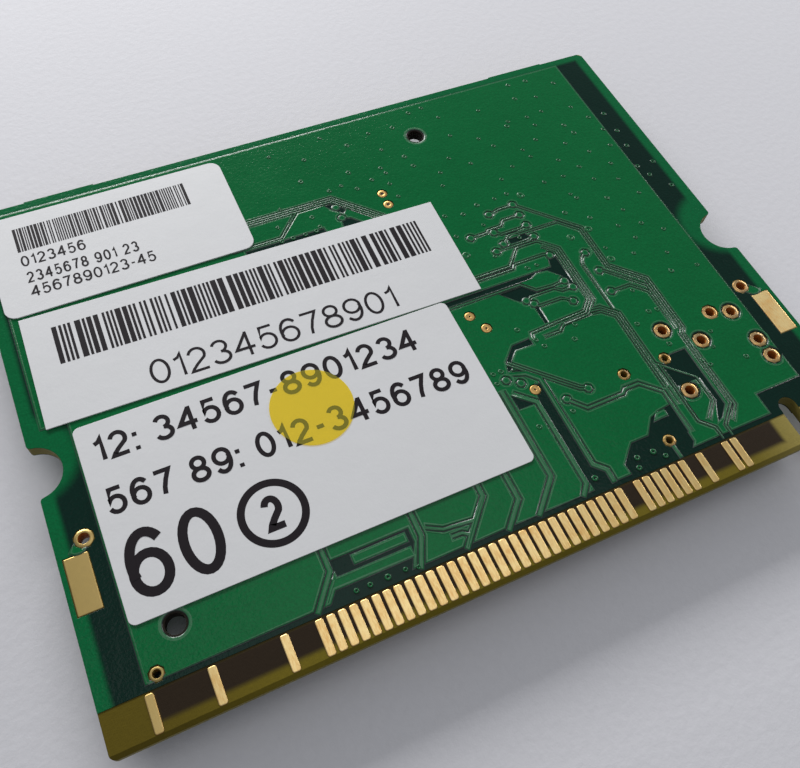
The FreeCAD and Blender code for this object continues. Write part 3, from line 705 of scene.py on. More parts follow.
def makeDots():
    bm = bmesh.new()
    pits = []
    for low, high in islands("test_dots"):
        radius, top = (high.x - low.x) / 2, high.z
        pit = ring["widePit"] if low.y > 30 else ring["pit"]
        profile = [(radius, 0.0), (radius, top - 0.04), (radius * 0.93, top - 0.012),
                   (radius * 0.7, top - 0.002), (pit + 0.03, top), (pit, top - 0.012),
                   (pit * 0.75, top - 0.045)]
        lathe(bm, *centre(low, high), profile, ring["sides"])
        pits.append((centre(low, high), pit))
    bmesh.ops.recalc_face_normals(bm, faces=bm.faces)
    piece = newPiece("gold_test_dots", bm, dotGold, "gold", "test_dots")
    smooth(piece, 50)
    # painted shade in the middle of each dot
    piece.data.materials.append(dotHoleShade)
    for face in piece.data.polygons:
        middle = (face.center - spot(0, 0)) * 1000
        if any(math.dist(middle[:2], place) < pit * 0.99 for place, pit in pits):
            face.material_index = 1


makeDots()

# Contacts and latch pads with rounded ends and soft rims
contact = {"corner": 0.16, "padCorner": 0.1, "rim": 0.075}


def makePads(name, source, corner):
    bm = bmesh.new()
    for low, high in islands(source):
        outer = high.z if high.z > 0 else low.z
        inner = low.z if high.z > 0 else high.z
        slab(bm, low.x, low.y, high.x, high.y, inner, outer, corner, contact["rim"])
    piece = newPiece(name, bm, fingerGold, "gold", source)
    smooth(piece, 60)
    flatTops(piece)


makePads("back_fingers", "back_edge_contacts", contact["corner"])
makePads("front_fingers", "front_edge_contacts", contact["corner"])
makePads("back_latch_gold", "back_latch_pads", contact["padCorner"])
makePads("front_latch_gold", "front_latch_pads", contact["padCorner"])
print("gold made")

# Coat edges: the coating flows down in a soft slope beside every pour and track, and stands
# in a low crown along the narrow ones
slope = {
    "reach": 0.085,
    "toe": 0.05,
    "brow": 0.06,
    "inner": 0.13,
    "crown": 0.016,
    "narrow": 0.42,
    "bend": 70,
    "shortRun": 0.75,
}


def coatRims():  # closed lines round the raised copper, as (place, height below, copper width, gap width)
    mesh = nodes["back_circuit_layer"].data
    keys, places, corner = {}, [], []
    for vert in mesh.vertices:
        place = (vert.co - spot(0, 0)) * 1000
        key = tuple(round(c, 3) for c in place)
        if key not in keys:
            keys[key] = len(places)
            places.append(place)
        corner.append(keys[key])
    top, foot = set(), {}
    for face in mesh.polygons:
        ids = [corner[k] for k in face.vertices]
        heights = [places[k].z for k in ids]
        pairs = list(zip(ids, ids[1:] + ids[:1]))
        if min(heights) > coatTop - 0.002:
            top.update(pairs)
        elif max(heights) > coatTop - 0.002:
            foot.update({(b, a): min(heights) for a, b in pairs})
    after = {}
    for a, b in top:
        if a != b and (b, a) not in top:
            after.setdefault(a, []).append(b)
    points, walls = [], []
    for a, ends in after.items():
        for b in ends:
            k = len(points)
            points += [Vector((places[i].x, places[i].y, h)) for i, h in ((a, 0), (b, 0), (b, 1), (a, 1))]
            walls.append((k, k + 1, k + 2, k + 3))
    tree = BVHTree.FromPolygons(points, walls)
    lines = []
    arrivals = [b for ends in after.values() for b in ends]
    for start in sorted(after, key=lambda a: arrivals.count(a) - len(after[a])):
        while start in after:
            line, here = [], start
            while here in after:
                ends = after[here]
                there = ends.pop()
                if not ends:
                    del after[here]
                line.append((here, there))
                here = there
            if here != start:  # one run is shared by two outlines and closes the line
                line.append((here, start))
            lines.append(line)
    loops = []
    for line in lines:
        rim = []
        for a, b in line:
            p, q = places[a], places[b]
            way = (q - p).normalized()
            out = Vector((way.y, -way.x, 0))
            middle = Vector(((p.x + q.x) / 2, (p.y + q.y) / 2, 0.5))
            inward = tree.ray_cast(middle - out * 0.004, -out, 1.0)[3]
            outward = tree.ray_cast(middle + out * 0.004, out, 1.0)[3]
            rim.append((Vector((p.x, p.y)), foot.get((a, b), 0.0), inward or 1.0, outward or 1.0))
        if len(rim) > 2:
            loops.append(rim)
    return loops


def softened(rim):  # short runs with slight bends become a curve
    count = len(rim)
    result = []
    for k in range(count):
        p0, p1, p2, p3 = (rim[(k + d) % count][0] for d in (-1, 0, 1, 2))
        result.append(rim[k])
        bends = [math.degrees((b - a).angle(c - b, 0.0)) for a, b, c in ((p0, p1, p2), (p1, p2, p3))]
        run = (p2 - p1).length
        if run < slope["shortRun"] and max(bends) < slope["bend"] and min(bends) > 12:
            ways = [(p1 - p0).normalized(), (p2 - p1).normalized(), (p3 - p2).normalized()]
            first, last = ((ways[j] + ways[j + 1]).normalized() * run for j in (0, 1))
            for t in (0.33, 0.67):
                curve = (p1 * (2 * t ** 3 - 3 * t * t + 1) + first * (t ** 3 - 2 * t * t + t)
                         + p2 * (3 * t * t - 2 * t ** 3) + last * (t ** 3 - t * t))
                result.append((curve,) + rim[k][1:])
    return result


def addSlope(bm, rim):
    count = len(rim)
    rows = []
    for k in range(count):
        before, here, after = rim[k - 1], rim[k], rim[(k + 1) % count]
        runs = [(here[0] - before[0]).normalized(), (after[0] - here[0]).normalized()]
        way = (runs[0] + runs[1]).normalized()
        out = Vector((way.y, -way.x))
        mitre = 1 / max(out.dot(Vector((runs[0].y, -runs[0].x))), 0.5)
        low = here[1]
        copper, gap = min(before[2], here[2]), min(before[3], here[3])
        spread = min(1.0, gap / 2 / slope["reach"])
        levels = [(slope["reach"] * spread, low + 0.0012), (slope["toe"] * spread, low + 0.009),
                  (0.018, coatTop - 0.017)]
        if copper < slope["narrow"]:
            levels += [(-copper * 0.27, coatTop + slope["crown"] * 0.8),
                       (-copper * 0.5, coatTop + slope["crown"])]
        else:
            levels += [(-slope["brow"], coatTop + 0.004), (-slope["inner"], coatTop + 0.0008)]
        rows.append([bm.verts.new(spot(*(here[0] + out * (d * mitre)), h)) for d, h in levels])
    for k in range(count):
        if rim[k][1] > 0.02:
            strip(bm, rows[k], rows[(k + 1) % count])


def addLip(bm, x, y, inner, outer, foot):
    span = outer - inner
    profile = [(inner, foot), (inner + span * 0.12, foot + (coatTop - foot) * 0.55),
               (inner + span * 0.3, coatTop - 0.004), (inner + span * 0.55, coatTop + 0.0035),
               (outer, coatTop + 0.0008)]
    lathe(bm, x, y, profile, 48, False, False)


def makeEdges():
    bm = bmesh.new()
    drawn = 0
    for rim in coatRims():
        middle = sum((p[0] for p in rim), Vector((0, 0))) / len(rim)
        far = [(p[0] - middle).length for p in rim]
        if len(rim) == 8 and max(far) - min(far) < 0.01 and rim[0][1] > 0.02:
            addLip(bm, *middle, max(far) * 0.9, max(far) + 0.1, 0.042)
        else:
            addSlope(bm, softened(rim))
        drawn += 1
    for x, y in toolHole["places"]:
        addLip(bm, x, y, toolHole["inner"], toolHole["outer"], 0.004)
    bmesh.ops.delete(bm, geom=[v for v in bm.verts if not v.link_faces], context="VERTS")
    piece = newPiece("coat_edges", bm, edgeCoat, "coating")
    smooth(piece, 80)
    print("coat edges:", drawn, "lines,", len(piece.data.polygons), "faces")


makeEdges()

# Covered vias: little coated bumps, each with a dimple
via = {
    "radius": 0.19,
    "largeRadius": 0.3,
    "rise": 0.04,
    "dimple": 0.075,
    "large": [(44.6, 29.9), (46.35, 24.1), (48.3, 24.35), (48.4, 20.8), (37.0, 25.7)],
    "small": [
        (47.4, 30.5), (49.4, 30.5), (51.4, 31.0), (51.9, 29.2), (48.9, 28.4), (49.2, 27.8), (47.3, 26.7),
        (51.8, 26.8), (49.1, 25.4), (51.0, 23.7), (53.1, 23.2), (48.6, 22.0), (51.7, 22.0), (53.4, 19.6),
        (48.3, 17.3), (48.4, 15.0), (49.2, 14.9), (46.8, 14.3), (48.2, 11.7), (52.1, 11.4), (51.4, 10.1),
        (50.2, 8.8), (49.9, 9.4), (53.4, 8.3), (40.4, 30.3), (42.2, 30.4), (43.5, 30.5), (38.8, 29.8),
        (37.2, 30.2), (39.9, 28.1), (37.1, 27.8), (39.2, 24.7), (37.35, 17.5), (34.7, 9.3), (37.75, 9.45),
        (42.1, 22.6), (41.2, 22.6), (38.3, 16.1), (42.0, 16.2), (34.3, 14.6), (33.6, 14.6), (33.5, 13.75),
        (39.9, 3.5), (42.3, 3.55), (17.3, 3.5), (18.3, 3.5), (19.6, 3.5), (20.9, 3.5), (21.8, 3.3),
        (26.75, 33.0), (23.2, 32.7), (24.2, 32.7), (25.3, 32.7), (26.3, 32.7), (31.4, 37.8), (30.2, 36.6),
        (33.0, 36.3), (34.5, 36.6), (31.4, 35.8), (34.3, 35.3), (34.4, 33.7), (26.5, 34.2), (23.4, 34.2),
        (50.4, 42.8), (52.3, 42.7), (52.2, 40.4), (51.7, 38.5), (54.7, 38.0), (52.8, 36.1), (55.6, 36.2),
        (51.7, 34.0), (56.1, 34.3), (53.3, 32.3), (55.6, 32.3), (54.0, 28.4), (40.2, 4.25), (41.6, 4.2),
        (36.4, 4.1), (38.65, 15.35), (41.25, 15.0), (42.15, 25.7), (35.0, 41.6), (37.4, 41.5), (39.6, 42.7),
        (41.0, 42.9), (36.9, 37.8), (34.3, 37.3), (37.2, 36.5), (39.1, 34.9), (42.2, 34.9), (42.0, 38.7),
        (44.3, 37.4), (45.2, 36.1), (47.6, 37.9), (48.0, 38.4), (47.5, 34.7), (47.8, 33.7), (50.2, 37.1),
        (50.1, 40.9), (50.0, 38.3), (46.0, 40.7), (42.0, 41.2), (53.2, 34.9), (49.3, 35.4), (45.6, 33.2),
        (40.6, 36.2), (38.6, 33.4), (43.9, 32.2), (54.8, 41.5), (35.3, 39.3), (25.5, 42.0), (28.3, 40.6),
        (30.6, 42.6), (27.1, 38.3), (24.3, 36.0), (29.0, 36.4), (32.6, 40.9), (50.6, 20.6), (52.6, 17.8),
        (54.6, 21.9), (54.9, 26.3), (55.1, 17.5), (52.4, 25.1), (50.0, 32.4), (54.4, 30.3),
    ],
    "strip": [
        (57.3, 36.1), (57.3, 33.7), (57.1, 31.7), (56.6, 29.1), (58.3, 29.1), (57.1, 27.8), (58.3, 26.0),
    ],
}


def bumpMesh(bm, x, y, radius, base):
    top = base + via["rise"]
    profile = [(radius * 1.25, base - 0.01), (radius * 1.1, base + 0.3 * via["rise"]),
               (radius * 0.92, top - 0.006), (radius * 0.75, top), (radius * 0.55, top - 0.006),
               (radius * 0.38, top - via["dimple"] * 0.6), (radius * 0.18, top - via["dimple"])]
    lathe(bm, x, y, profile, 20, False)


def makeVias():
    chance = random.Random(4)
    bm = bmesh.new()
    for x, y in via["large"]:
        bumpMesh(bm, x, y, via["largeRadius"], coatTop)
    for x, y in via["small"]:
        bumpMesh(bm, x, y, via["radius"] * chance.uniform(0.8, 1.1), coatTop - 0.004)
    for x, y in via["strip"]:
        bumpMesh(bm, x, y, via["radius"] * 1.1, 0.04)
    bmesh.ops.recalc_face_normals(bm, faces=bm.faces)
    smooth(newPiece("covered_vias", bm, viaCoat, "coating"), 60)


makeVias()
print("vias made")

# Yellow dot: a clear film with a rolled rim, laid over the print
film = {"sides": 72, "rim": 0.02}


def makeFilm():
    low, high = islands("round_sticker")[0]
    radius, rim = (high.x - low.x) / 2, film["rim"]
    bm = bmesh.new()
    profile = [(radius, labelTop + 0.012), (radius, dotTop - rim), (radius - rim * 0.3, dotTop - rim * 0.3),
               (radius - rim, dotTop)]
    lathe(bm, *centre(low, high), profile, film["sides"])
    bmesh.ops.recalc_face_normals(bm, faces=bm.faces)
    piece = newPiece("yellow_dot", bm, yellowFilm, "yellow_film", "round_sticker")
    smooth(piece, 50)
    flatTops(piece)


makeFilm()

# Label print: stripes and plain drawn digits in places like the photo's
labelPrint = {
    "lift": 0.006,
    "partStripes": ((3.2, 39.2), (17.5, 41.7), 0.0, 60, 5),
    "serialStripes": ((3.9, 27.75), (34.5, 31.2), -1.1, 68, 9),
    "partRows": [
        ("0123456", (3.2, 37.65), (8.3, 38.75), 0.0, 0.15),
        ("2345678 901 23", (3.3, 35.95), (12.2, 37.05), 0.0, 0.15),
        ("4567890123-45", (3.3, 34.5), (13.2, 35.6), 0.0, 0.15),
    ],
    "serialRows": [("012345678901", (9.6, 23.35), (29.6, 25.55), -1.1, 0.23)],
    "approvalRows": [
        ("12: 34567-8901234", (4.2, 18.8), (29.4, 20.9), 0.0, 0.33),
        ("567 89: 012-3456789", (4.0, 14.7), (31.9, 16.8), 0.0, 0.33),
        ("60", (4.0, 8.3), (10.6, 13.2), 0.0, 0.68),
        ("2", (13.45, 9.4), (14.95, 12.0), 0.0, 0.5),
    ],
    "roundel": (14.2, 10.7, 2.5, 0.55),
}


def arc(cx, cy, rx, ry, start, end, steps=16):
    angles = [math.radians(start + (end - start) * k / steps) for k in range(steps + 1)]
    return [(cx + rx * math.cos(a), cy + ry * math.sin(a)) for a in angles]


# Strokes of each digit in a unit box, with how wide the digit is
glyphs = {
    "0": (0.6, [arc(0.5, 0.5, 0.5, 0.5, 90, 450, 28)]),
    "1": (0.26, [[(0.0, 0.78), (0.62, 0.84), (1.0, 1.0), (1.0, 0.0)]]),
    "2": (0.6, [arc(0.5, 0.7, 0.47, 0.3, 165, -35) + [(0.42, 0.29), (0.12, 0.1), (0.02, 0.0), (1.0, 0.0)]]),
    "3": (0.6, [arc(0.48, 0.75, 0.42, 0.25, 160, -85), arc(0.48, 0.26, 0.5, 0.26, 85, -160)]),
    "4": (0.64, [[(0.74, -0.06), (0.74, 1.06)], [(0.74, 1.0), (0.0, 0.3), (1.06, 0.3)]]),
    "5": (0.6, [[(0.92, 1.0), (0.2, 1.0), (0.1, 0.5)] + arc(0.48, 0.33, 0.5, 0.33, 135, -155)]),
    "6": (0.6, [arc(0.5, 0.32, 0.5, 0.32, 180, -180, 24), arc(0.54, 0.5, 0.54, 0.5, 205, 42, 16)]),
    "7": (0.58, [[(0.0, 1.0), (1.0, 1.0), (0.66, 0.6), (0.46, 0.28), (0.38, 0.0)]]),
    "8": (0.6, [arc(0.5, 0.76, 0.41, 0.24, 270, -90, 24), arc(0.5, 0.26, 0.5, 0.26, 90, 450, 24)]),
    "9": (0.6, [arc(0.5, 0.68, 0.5, 0.32, 0, 360, 24), arc(0.46, 0.5, 0.54, 0.5, 25, -138, 16)]),
    ":": (0.02, [[(0.5, -0.08), (0.5, 0.09)], [(0.5, 0.56), (0.5, 0.73)]]),
    "-": (0.3, [[(0.0, 0.4), (1.0, 0.4)]]),
    " ": (0.16, []),
}


def turned(x, y, pivot, degrees):
    a = math.radians(degrees)
    dx, dy = x - pivot[0], y - pivot[1]
    return pivot[0] + dx * math.cos(a) - dy * math.sin(a), pivot[1] + dx * math.sin(a) + dy * math.cos(a)


def addStripes(bm, low, high, degrees, count, seed):
    chance = random.Random(seed)
    bars, gaps = (1.1, 1.2, 1.3, 2.3, 2.8), (0.8, 0.9, 1.0, 1.9)
    widths = [chance.choice(gaps if k % 2 else bars) for k in range(2 * count - 1)]
    unit = (high[0] - low[0]) / sum(widths)
    x = low[0]
    for k, width in enumerate(widths):
        if k % 2 == 0:
            corners = [(x, low[1]), (x + width * unit, low[1]), (x + width * unit, high[1]), (x, high[1])]
            places = [turned(px, py, (low[0], high[1]), degrees) for px, py in corners]
            bm.faces.new([bm.verts.new(spot(px, py, labelTop + labelPrint["lift"])) for px, py in places])
        x += width * unit


def addStroke(bm, points, width, height, place=lambda x, y: (x, y)):  # a flat band, mitred at its bends
    points = [p for k, p in enumerate(points) if k == 0 or math.dist(p, points[k - 1]) > 1e-4]
    looped = math.dist(points[0], points[-1]) < 1e-4
    sides = []
    for k, (x, y) in enumerate(points):
        before, after = points[max(k - 1, 0)], points[min(k + 1, len(points) - 1)]
        if looped and k in (0, len(points) - 1):
            before, after = points[-2], points[1]
        runs = [Vector((b[0] - a[0], b[1] - a[1])).normalized()
                for a, b in ((before, (x, y)), ((x, y), after)) if a != b]
        way = sum(runs, Vector((0, 0))).normalized()
        out = Vector((-way.y, way.x))
        reach = width / 2 / max(abs(out.dot(Vector((-runs[0].y, runs[0].x)))), 0.45)
        sides.append(((x + out.x * reach, y + out.y * reach), (x - out.x * reach, y - out.y * reach)))
    verts = [[bm.verts.new(spot(*place(*p), height)) for p in pair] for pair in sides]
    for (a, b), (c, d) in zip(verts, verts[1:]):
        bm.faces.new((a, b, d, c))


def addWords(bm, words, x, y, tall, weight, height, place, squeeze=1.0, step=0.0):
    for c in words:
        wide = glyphs[c][0] * tall * squeeze
        for k, stroke in enumerate(glyphs[c][1]):  # each further stroke lies a step higher
            points = [(x + px * wide, y + weight / 2 + py * (tall - weight)) for px, py in stroke]
            addStroke(bm, points, weight, height + step * k, place)
        x += wide + weight + 0.13 * tall


def addDigits(bm, words, low, high, degrees, weight):  # a row of digits that fills its box
    tall = high[1] - low[1]
    free = high[0] - low[0] - weight - (weight + 0.13 * tall) * (len(words) - 1)
    squeeze = free / sum(glyphs[c][0] * tall for c in words)
    addWords(bm, words, low[0] + weight / 2, low[1], tall, weight, labelTop + labelPrint["lift"],
             lambda px, py: turned(px, py, low, degrees), squeeze, 0.012)


def addHoop(bm, x, y, radius, stroke):
    middle = radius - stroke / 2
    addStroke(bm, arc(x, y, middle, middle, 0, 360, 72), stroke, labelTop + labelPrint["lift"])


def makePrint(name, stripes, rows, roundel=None):
    bm = bmesh.new()
    if stripes:
        addStripes(bm, *stripes)
    for row in rows:
        addDigits(bm, *row)
    if roundel:
        addHoop(bm, *roundel)
    bmesh.ops.recalc_face_normals(bm, faces=bm.faces)
    for face in bm.faces:
        if face.normal.z < 0:
            face.normal_flip()
    newPiece(name, bm, blackInk, "paper")


makePrint("part_label_print", labelPrint["partStripes"], labelPrint["partRows"])
makePrint("serial_label_print", labelPrint["serialStripes"], labelPrint["serialRows"])
makePrint("approval_label_print", None, labelPrint["approvalRows"], labelPrint["roundel"])
print("labels printed")

# Component side: raised tracks, vias, solder, white print and part markings
underside = {
    "trackRise": 0.026,
    "trackShoulder": 0.05,
    "trackStart": 2.95,
    "contactTracks": [  # width, place along the contact row, then plan places
        (0.18, 11.9, (11.9, 4.85)), (0.18, 12.7, (12.7, 3.9), (13.25, 4.45), (13.25, 4.85)),
        (0.18, 13.5, (13.5, 3.7), (13.8, 4.0), (13.8, 6.0), (13.4, 6.4)), (0.18, 14.3, (14.3, 4.85)),
        (0.18, 15.9, (15.9, 4.0), (15.65, 4.25), (15.65, 4.85)), (0.18, 16.7, (16.7, 5.4), (15.95, 6.15)),
        (0.18, 17.5, (17.5, 4.2), (17.95, 4.65)), (0.18, 18.3, (18.3, 3.6), (19.25, 4.55), (19.25, 4.85)),
        (0.14, 19.1, (19.1, 3.3), (19.7, 3.9), (19.7, 10.6), (20.4, 11.3), (20.4, 14.2)),
        (0.18, 19.9, (19.9, 4.4), (20.15, 4.85)), (0.18, 20.7, (20.7, 3.7), (21.45, 4.45), (21.45, 4.85)),
        (0.18, 22.3, (22.3, 4.85)), (0.18, 23.1, (23.1, 3.8), (23.65, 4.35), (23.65, 4.85)),
        (0.3, 24.7, (24.7, 5.0), (24.5, 5.2), (24.5, 5.8)), (0.3, 25.5, (25.5, 4.9), (26.5, 5.9)),
        (0.18, 26.3, (26.3, 3.5), (26.6, 3.8)), (0.18, 29.5, (29.5, 3.6), (29.3, 3.8)),
        (0.18, 30.3, (30.3, 4.6), (29.75, 5.15), (29.75, 6.25)), (0.18, 31.1, (31.1, 6.25)),
        (0.18, 31.9, (31.9, 5.6), (32.15, 5.85), (32.15, 6.25)),
        (0.18, 32.7, (32.7, 4.9), (33.45, 5.65), (33.45, 6.25)),
        (0.3, 33.5, (33.5, 4.6), (34.0, 5.1), (34.0, 8.6), (33.6, 9.5)),
        (0.18, 34.3, (34.3, 5.6), (34.55, 5.85), (34.55, 6.25)), (0.18, 35.9, (35.9, 6.25)),
        (0.3, 36.7, (36.7, 8.4), (36.1, 9.0), (36.1, 9.5)),
        (0.14, 37.5, (37.5, 5.8), (39.9, 8.2), (39.9, 14.2)), (0.18, 38.3, (38.3, 3.5), (38.6, 3.8)),
        (0.18, 41.5, (41.5, 3.8)), (0.18, 42.3, (42.3, 3.5), (42.6, 3.8)),
        (0.18, 44.7, (44.7, 3.4), (45.2, 3.9)), (0.14, 46.3, (46.3, 6.1), (41.6, 10.8), (41.6, 14.2)),
        (0.14, 47.1, (47.1, 5.8), (42.1, 10.8), (42.1, 14.2)),
        (0.14, 47.9, (47.9, 5.5), (42.6, 10.8), (42.6, 14.2)),
    ],
    "routes": [  # width, then plan places
        (0.34, (5.2, 40.3), (5.2, 38.9), (7.2, 36.9), (7.5, 36.9)),
        (0.34, (50.0, 40.3), (50.0, 38.9), (49.4, 38.3), (49.4, 37.7)),
        (0.2, (2.6, 29.1), (2.6, 27.5), (5.5, 24.6), (7.5, 24.6)), (0.2, (2.6, 30.9), (2.6, 32.1)),
        (0.2, (2.6, 33.9), (2.6, 35.1)), (0.2, (2.6, 36.9), (2.6, 37.8), (4.0, 39.2)),
        (0.14, (23.35, 39.5), (23.35, 37.7)),
        (0.14, (24.65, 39.5), (24.65, 38.9), (25.1, 38.45), (25.1, 37.7)),
        (0.14, (25.65, 39.5), (25.65, 37.7)), (0.14, (26.95, 39.5), (26.95, 37.7)),
        (0.14, (27.95, 39.5), (27.95, 37.7)),
        (0.14, (29.25, 39.5), (29.25, 38.8), (30.0, 38.05), (30.0, 37.7)),
        (0.2, (55.35, 24.7), (55.35, 24.1), (54.2, 22.95), (51.7, 22.95)),
        (0.2, (55.35, 25.3), (55.35, 26.9)), (0.2, (56.65, 25.3), (56.65, 26.9)),
        (0.2, (55.35, 27.5), (55.35, 29.1)), (0.2, (56.65, 27.5), (56.65, 29.1)),
        (0.2, (55.35, 29.7), (55.35, 31.0), (53.3, 33.05), (51.7, 33.05)), (0.18, (12.1, 11.9), (12.1, 14.5)),
        (0.18, (13.37, 11.9), (13.37, 12.7), (13.9, 13.2), (13.9, 14.5)),
        (0.18, (14.64, 11.9), (14.64, 14.5)),
        (0.18, (15.91, 11.9), (15.91, 12.9), (16.6, 13.6), (16.6, 14.5)), (1.1, (24.5, 12.5), (24.5, 14.5)),
        (0.6, (30.85, 11.5), (30.85, 14.5)),
        (0.6, (33.55, 11.5), (33.55, 13.1), (36.05, 13.1), (36.05, 11.5)),
        (0.6, (38.75, 11.5), (38.75, 14.5)),
        (0.14, (8.9, 3.6), (8.9, 7.9), (7.6, 9.2), (7.6, 12.6), (9.5, 14.5)),
        (0.14, (8.3, 3.6), (8.3, 7.7), (7.1, 8.9), (7.1, 12.9), (8.7, 14.5)),
        (0.14, (53.2, 20.5), (55.4, 18.3), (55.4, 15.6)), (0.14, (51.7, 20.5), (53.2, 20.5)),
        (0.14, (51.7, 17.6), (52.8, 17.6), (54.3, 16.1), (54.3, 14.6)),
        (0.2, (12.0, 37.6), (12.0, 39.4), (13.4, 40.8), (20.6, 40.8), (21.6, 39.8), (23.3, 39.8)),
        (0.14, (34.5, 37.6), (34.5, 39.0), (36.6, 41.1), (44.8, 41.1), (46.2, 39.7), (46.2, 37.6)),
        (0.14, (32.6, 37.6), (32.6, 40.1), (34.8, 42.3), (46.0, 42.3)),
    ],
    "vias": [
        (8.9, 3.6), (8.3, 3.6), (10.2, 6.6), (12.6, 4.0), (17.3, 6.7), (18.6, 6.6), (20.7, 7.0), (22.6, 14.0),
        (26.9, 14.0), (28.9, 6.6), (28.9, 8.9), (28.9, 10.3), (28.9, 13.3), (19.0, 8.6), (18.2, 10.9),
        (18.0, 13.3), (10.6, 13.4), (9.4, 10.2), (9.4, 8.0), (34.9, 13.9), (40.9, 6.6), (43.0, 7.0),
        (44.6, 6.6), (40.9, 9.4), (44.9, 10.4), (44.3, 12.7), (46.4, 11.2), (51.4, 14.1), (51.9, 7.4),
        (50.3, 4.6), (51.6, 5.3), (45.4, 13.9), (4.4, 11.4), (5.6, 13.2), (4.6, 16.9), (6.3, 18.9),
        (5.9, 22.2), (4.0, 24.0), (5.9, 27.4), (5.9, 30.6), (5.9, 34.0), (5.4, 36.2), (1.2, 27.9),
        (1.2, 33.0), (1.2, 38.4), (2.2, 41.6), (8.4, 41.7), (8.4, 39.3), (10.4, 38.8), (10.2, 42.4),
        (15.2, 39.3), (18.0, 39.3), (17.0, 42.5), (22.0, 42.2), (26.2, 41.9), (30.4, 42.0), (31.1, 39.4),
        (38.0, 39.2), (41.6, 39.4), (43.9, 39.0), (47.3, 39.1), (47.0, 42.3), (53.1, 42.3), (53.3, 39.4),
        (55.6, 41.0), (57.9, 42.9), (57.9, 38.6), (53.6, 36.0), (57.4, 35.2), (54.2, 33.8), (57.9, 31.9),
        (53.6, 27.2), (53.4, 25.0), (58.2, 25.9), (53.2, 20.5), (55.4, 15.6), (54.3, 14.6), (46.0, 42.3),
        (52.9, 10.0), (56.6, 6.2), (57.7, 4.6),
    ],
    "frames": [  # white print round the parts, as rectangles
        (30.0, 8.7, 34.4, 12.5), (35.2, 8.7, 39.6, 12.5), (3.2, 39.4, 7.2, 43.0), (48.0, 39.4, 52.0, 43.0),
        (29.2, 5.9, 36.4, 7.3), (54.9, 24.2, 57.1, 30.2), (22.9, 39.1, 29.7, 40.6), (1.6, 28.7, 3.6, 37.3),
    ],
    "brackets": [  # white print on three sides of a part, open towards the contacts
        (11.2, 6.3, 16.8, 12.55), (20.8, 7.0, 28.2, 13.1),
    ],
    "numbers": [  # words, lower right place as seen from above, digit height
        ("1", (17.8, 11.6), 0.9), ("2", (29.3, 12.0), 0.9), ("3", (32.6, 7.5), 0.9), ("4", (40.9, 11.2), 0.9),
        ("5", (3.9, 38.2), 0.8), ("6", (53.3, 41.2), 0.9), ("7 8 9", (37.4, 7.5), 0.8),
        ("12", (58.3, 30.7), 0.8), ("13", (22.6, 41.1), 0.8), ("14", (4.9, 33.0), 0.8),
        ("0123", (57.6, 21.9), 1.0), ("45 67", (45.5, 43.0), 0.9),
    ],
    "marks": [  # part markings: words, corner, digit height, weight, the part
        ("012345", (15.9, 9.5), 0.85, 0.11, "memory_chip_body"),
        ("67-89", (15.4, 7.9), 0.85, 0.11, "memory_chip_body"),
        ("6789", (26.6, 9.5), 0.95, 0.13, "regulator_body"),
        ("01-23", (26.6, 7.95), 0.85, 0.12, "regulator_body"),
        ("10", (33.1, 10.1), 0.95, 0.14, "tantalum_capacitor_bodies"),
        ("10", (38.3, 10.1), 0.95, 0.14, "tantalum_capacitor_bodies"),
    ],
    "bars": [(30.75, 9.25, 31.15, 11.95), (35.95, 9.25, 36.35, 11.95)],
    "firstPin": (16.0, 7.6),
    "lineWidth": 0.12,
    "digitWeight": 0.13,
    "printLift": 0.03,
    "markLift": 0.008,
}


def addTrack(bm, width, points):
    half, out = width / 2, width / 2 + underside["trackShoulder"]
    rise = underside["trackRise"]
    levels = [(-out, 0.001), (-half * 0.8, -rise * 0.75), (0, -rise), (half * 0.8, -rise * 0.75),
              (out, 0.001)]
    ways = [(Vector(b) - Vector(a)).normalized() for a, b in zip(points, points[1:])]
    rows = []
    for k, (x, y) in enumerate(points):
        runs = ways[max(k - 1, 0):k + 1]
        way = sum(runs, Vector((0, 0))).normalized()
        side = Vector((-way.y, way.x)) / max(way.dot(runs[0]), 0.5)
        rows.append([bm.verts.new(spot(x + side.x * d, y + side.y * d, coatBottom + h)) for d, h in levels])
    for first, second in zip(rows, rows[1:]):
        strip(bm, first, second)
    for row in (rows[0], rows[-1]):
        bm.faces.new(row)


def makeFrontTracks():
    bm = bmesh.new()
    fromContacts = [(width, (x, underside["trackStart"]), *points)
                    for width, x, *points in underside["contactTracks"]]
    for width, *points in fromContacts + underside["routes"]:
        addTrack(bm, width, points)
    for x, y in underside["vias"]:
        lathe(bm, x, y, [(0.24, coatBottom + 0.001), (0.2, coatBottom - 0.025), (0.15, coatBottom - 0.036),
                         (0.1, coatBottom - 0.03), (0.05, coatBottom)], 16)
    inner, outer = toolHole["inner"], toolHole["outer"]
    lip = outer - inner
    for x, y in toolHole["places"]:
        profile = [(inner, -1.004), (inner + lip * 0.12, -1.05), (inner + lip * 0.3, coatBottom + 0.004),
                   (inner + lip * 0.55, coatBottom - 0.0035), (outer, coatBottom - 0.0008)]
        lathe(bm, x, y, profile, 48, capped=False)
    bmesh.ops.recalc_face_normals(bm, faces=bm.faces)
    piece = newPiece("front_tracks", bm, frontCoat, "coating")
    faceDown(piece)
    smooth(piece, 60)


# Solder: a concave fillet and a thin land at every end cap and lead
solder = {
    "endRun": 0.26,
    "leadRun": 0.22,
    "endRise": 0.55,
    "leadRise": 0.16,
    "land": 0.06,
    "leadLand": 0.75,
    "kinds": ("ceramic_capacitor", "resistor", "resistor_array", "ferrite_bead", "tantalum_capacitor"),
}


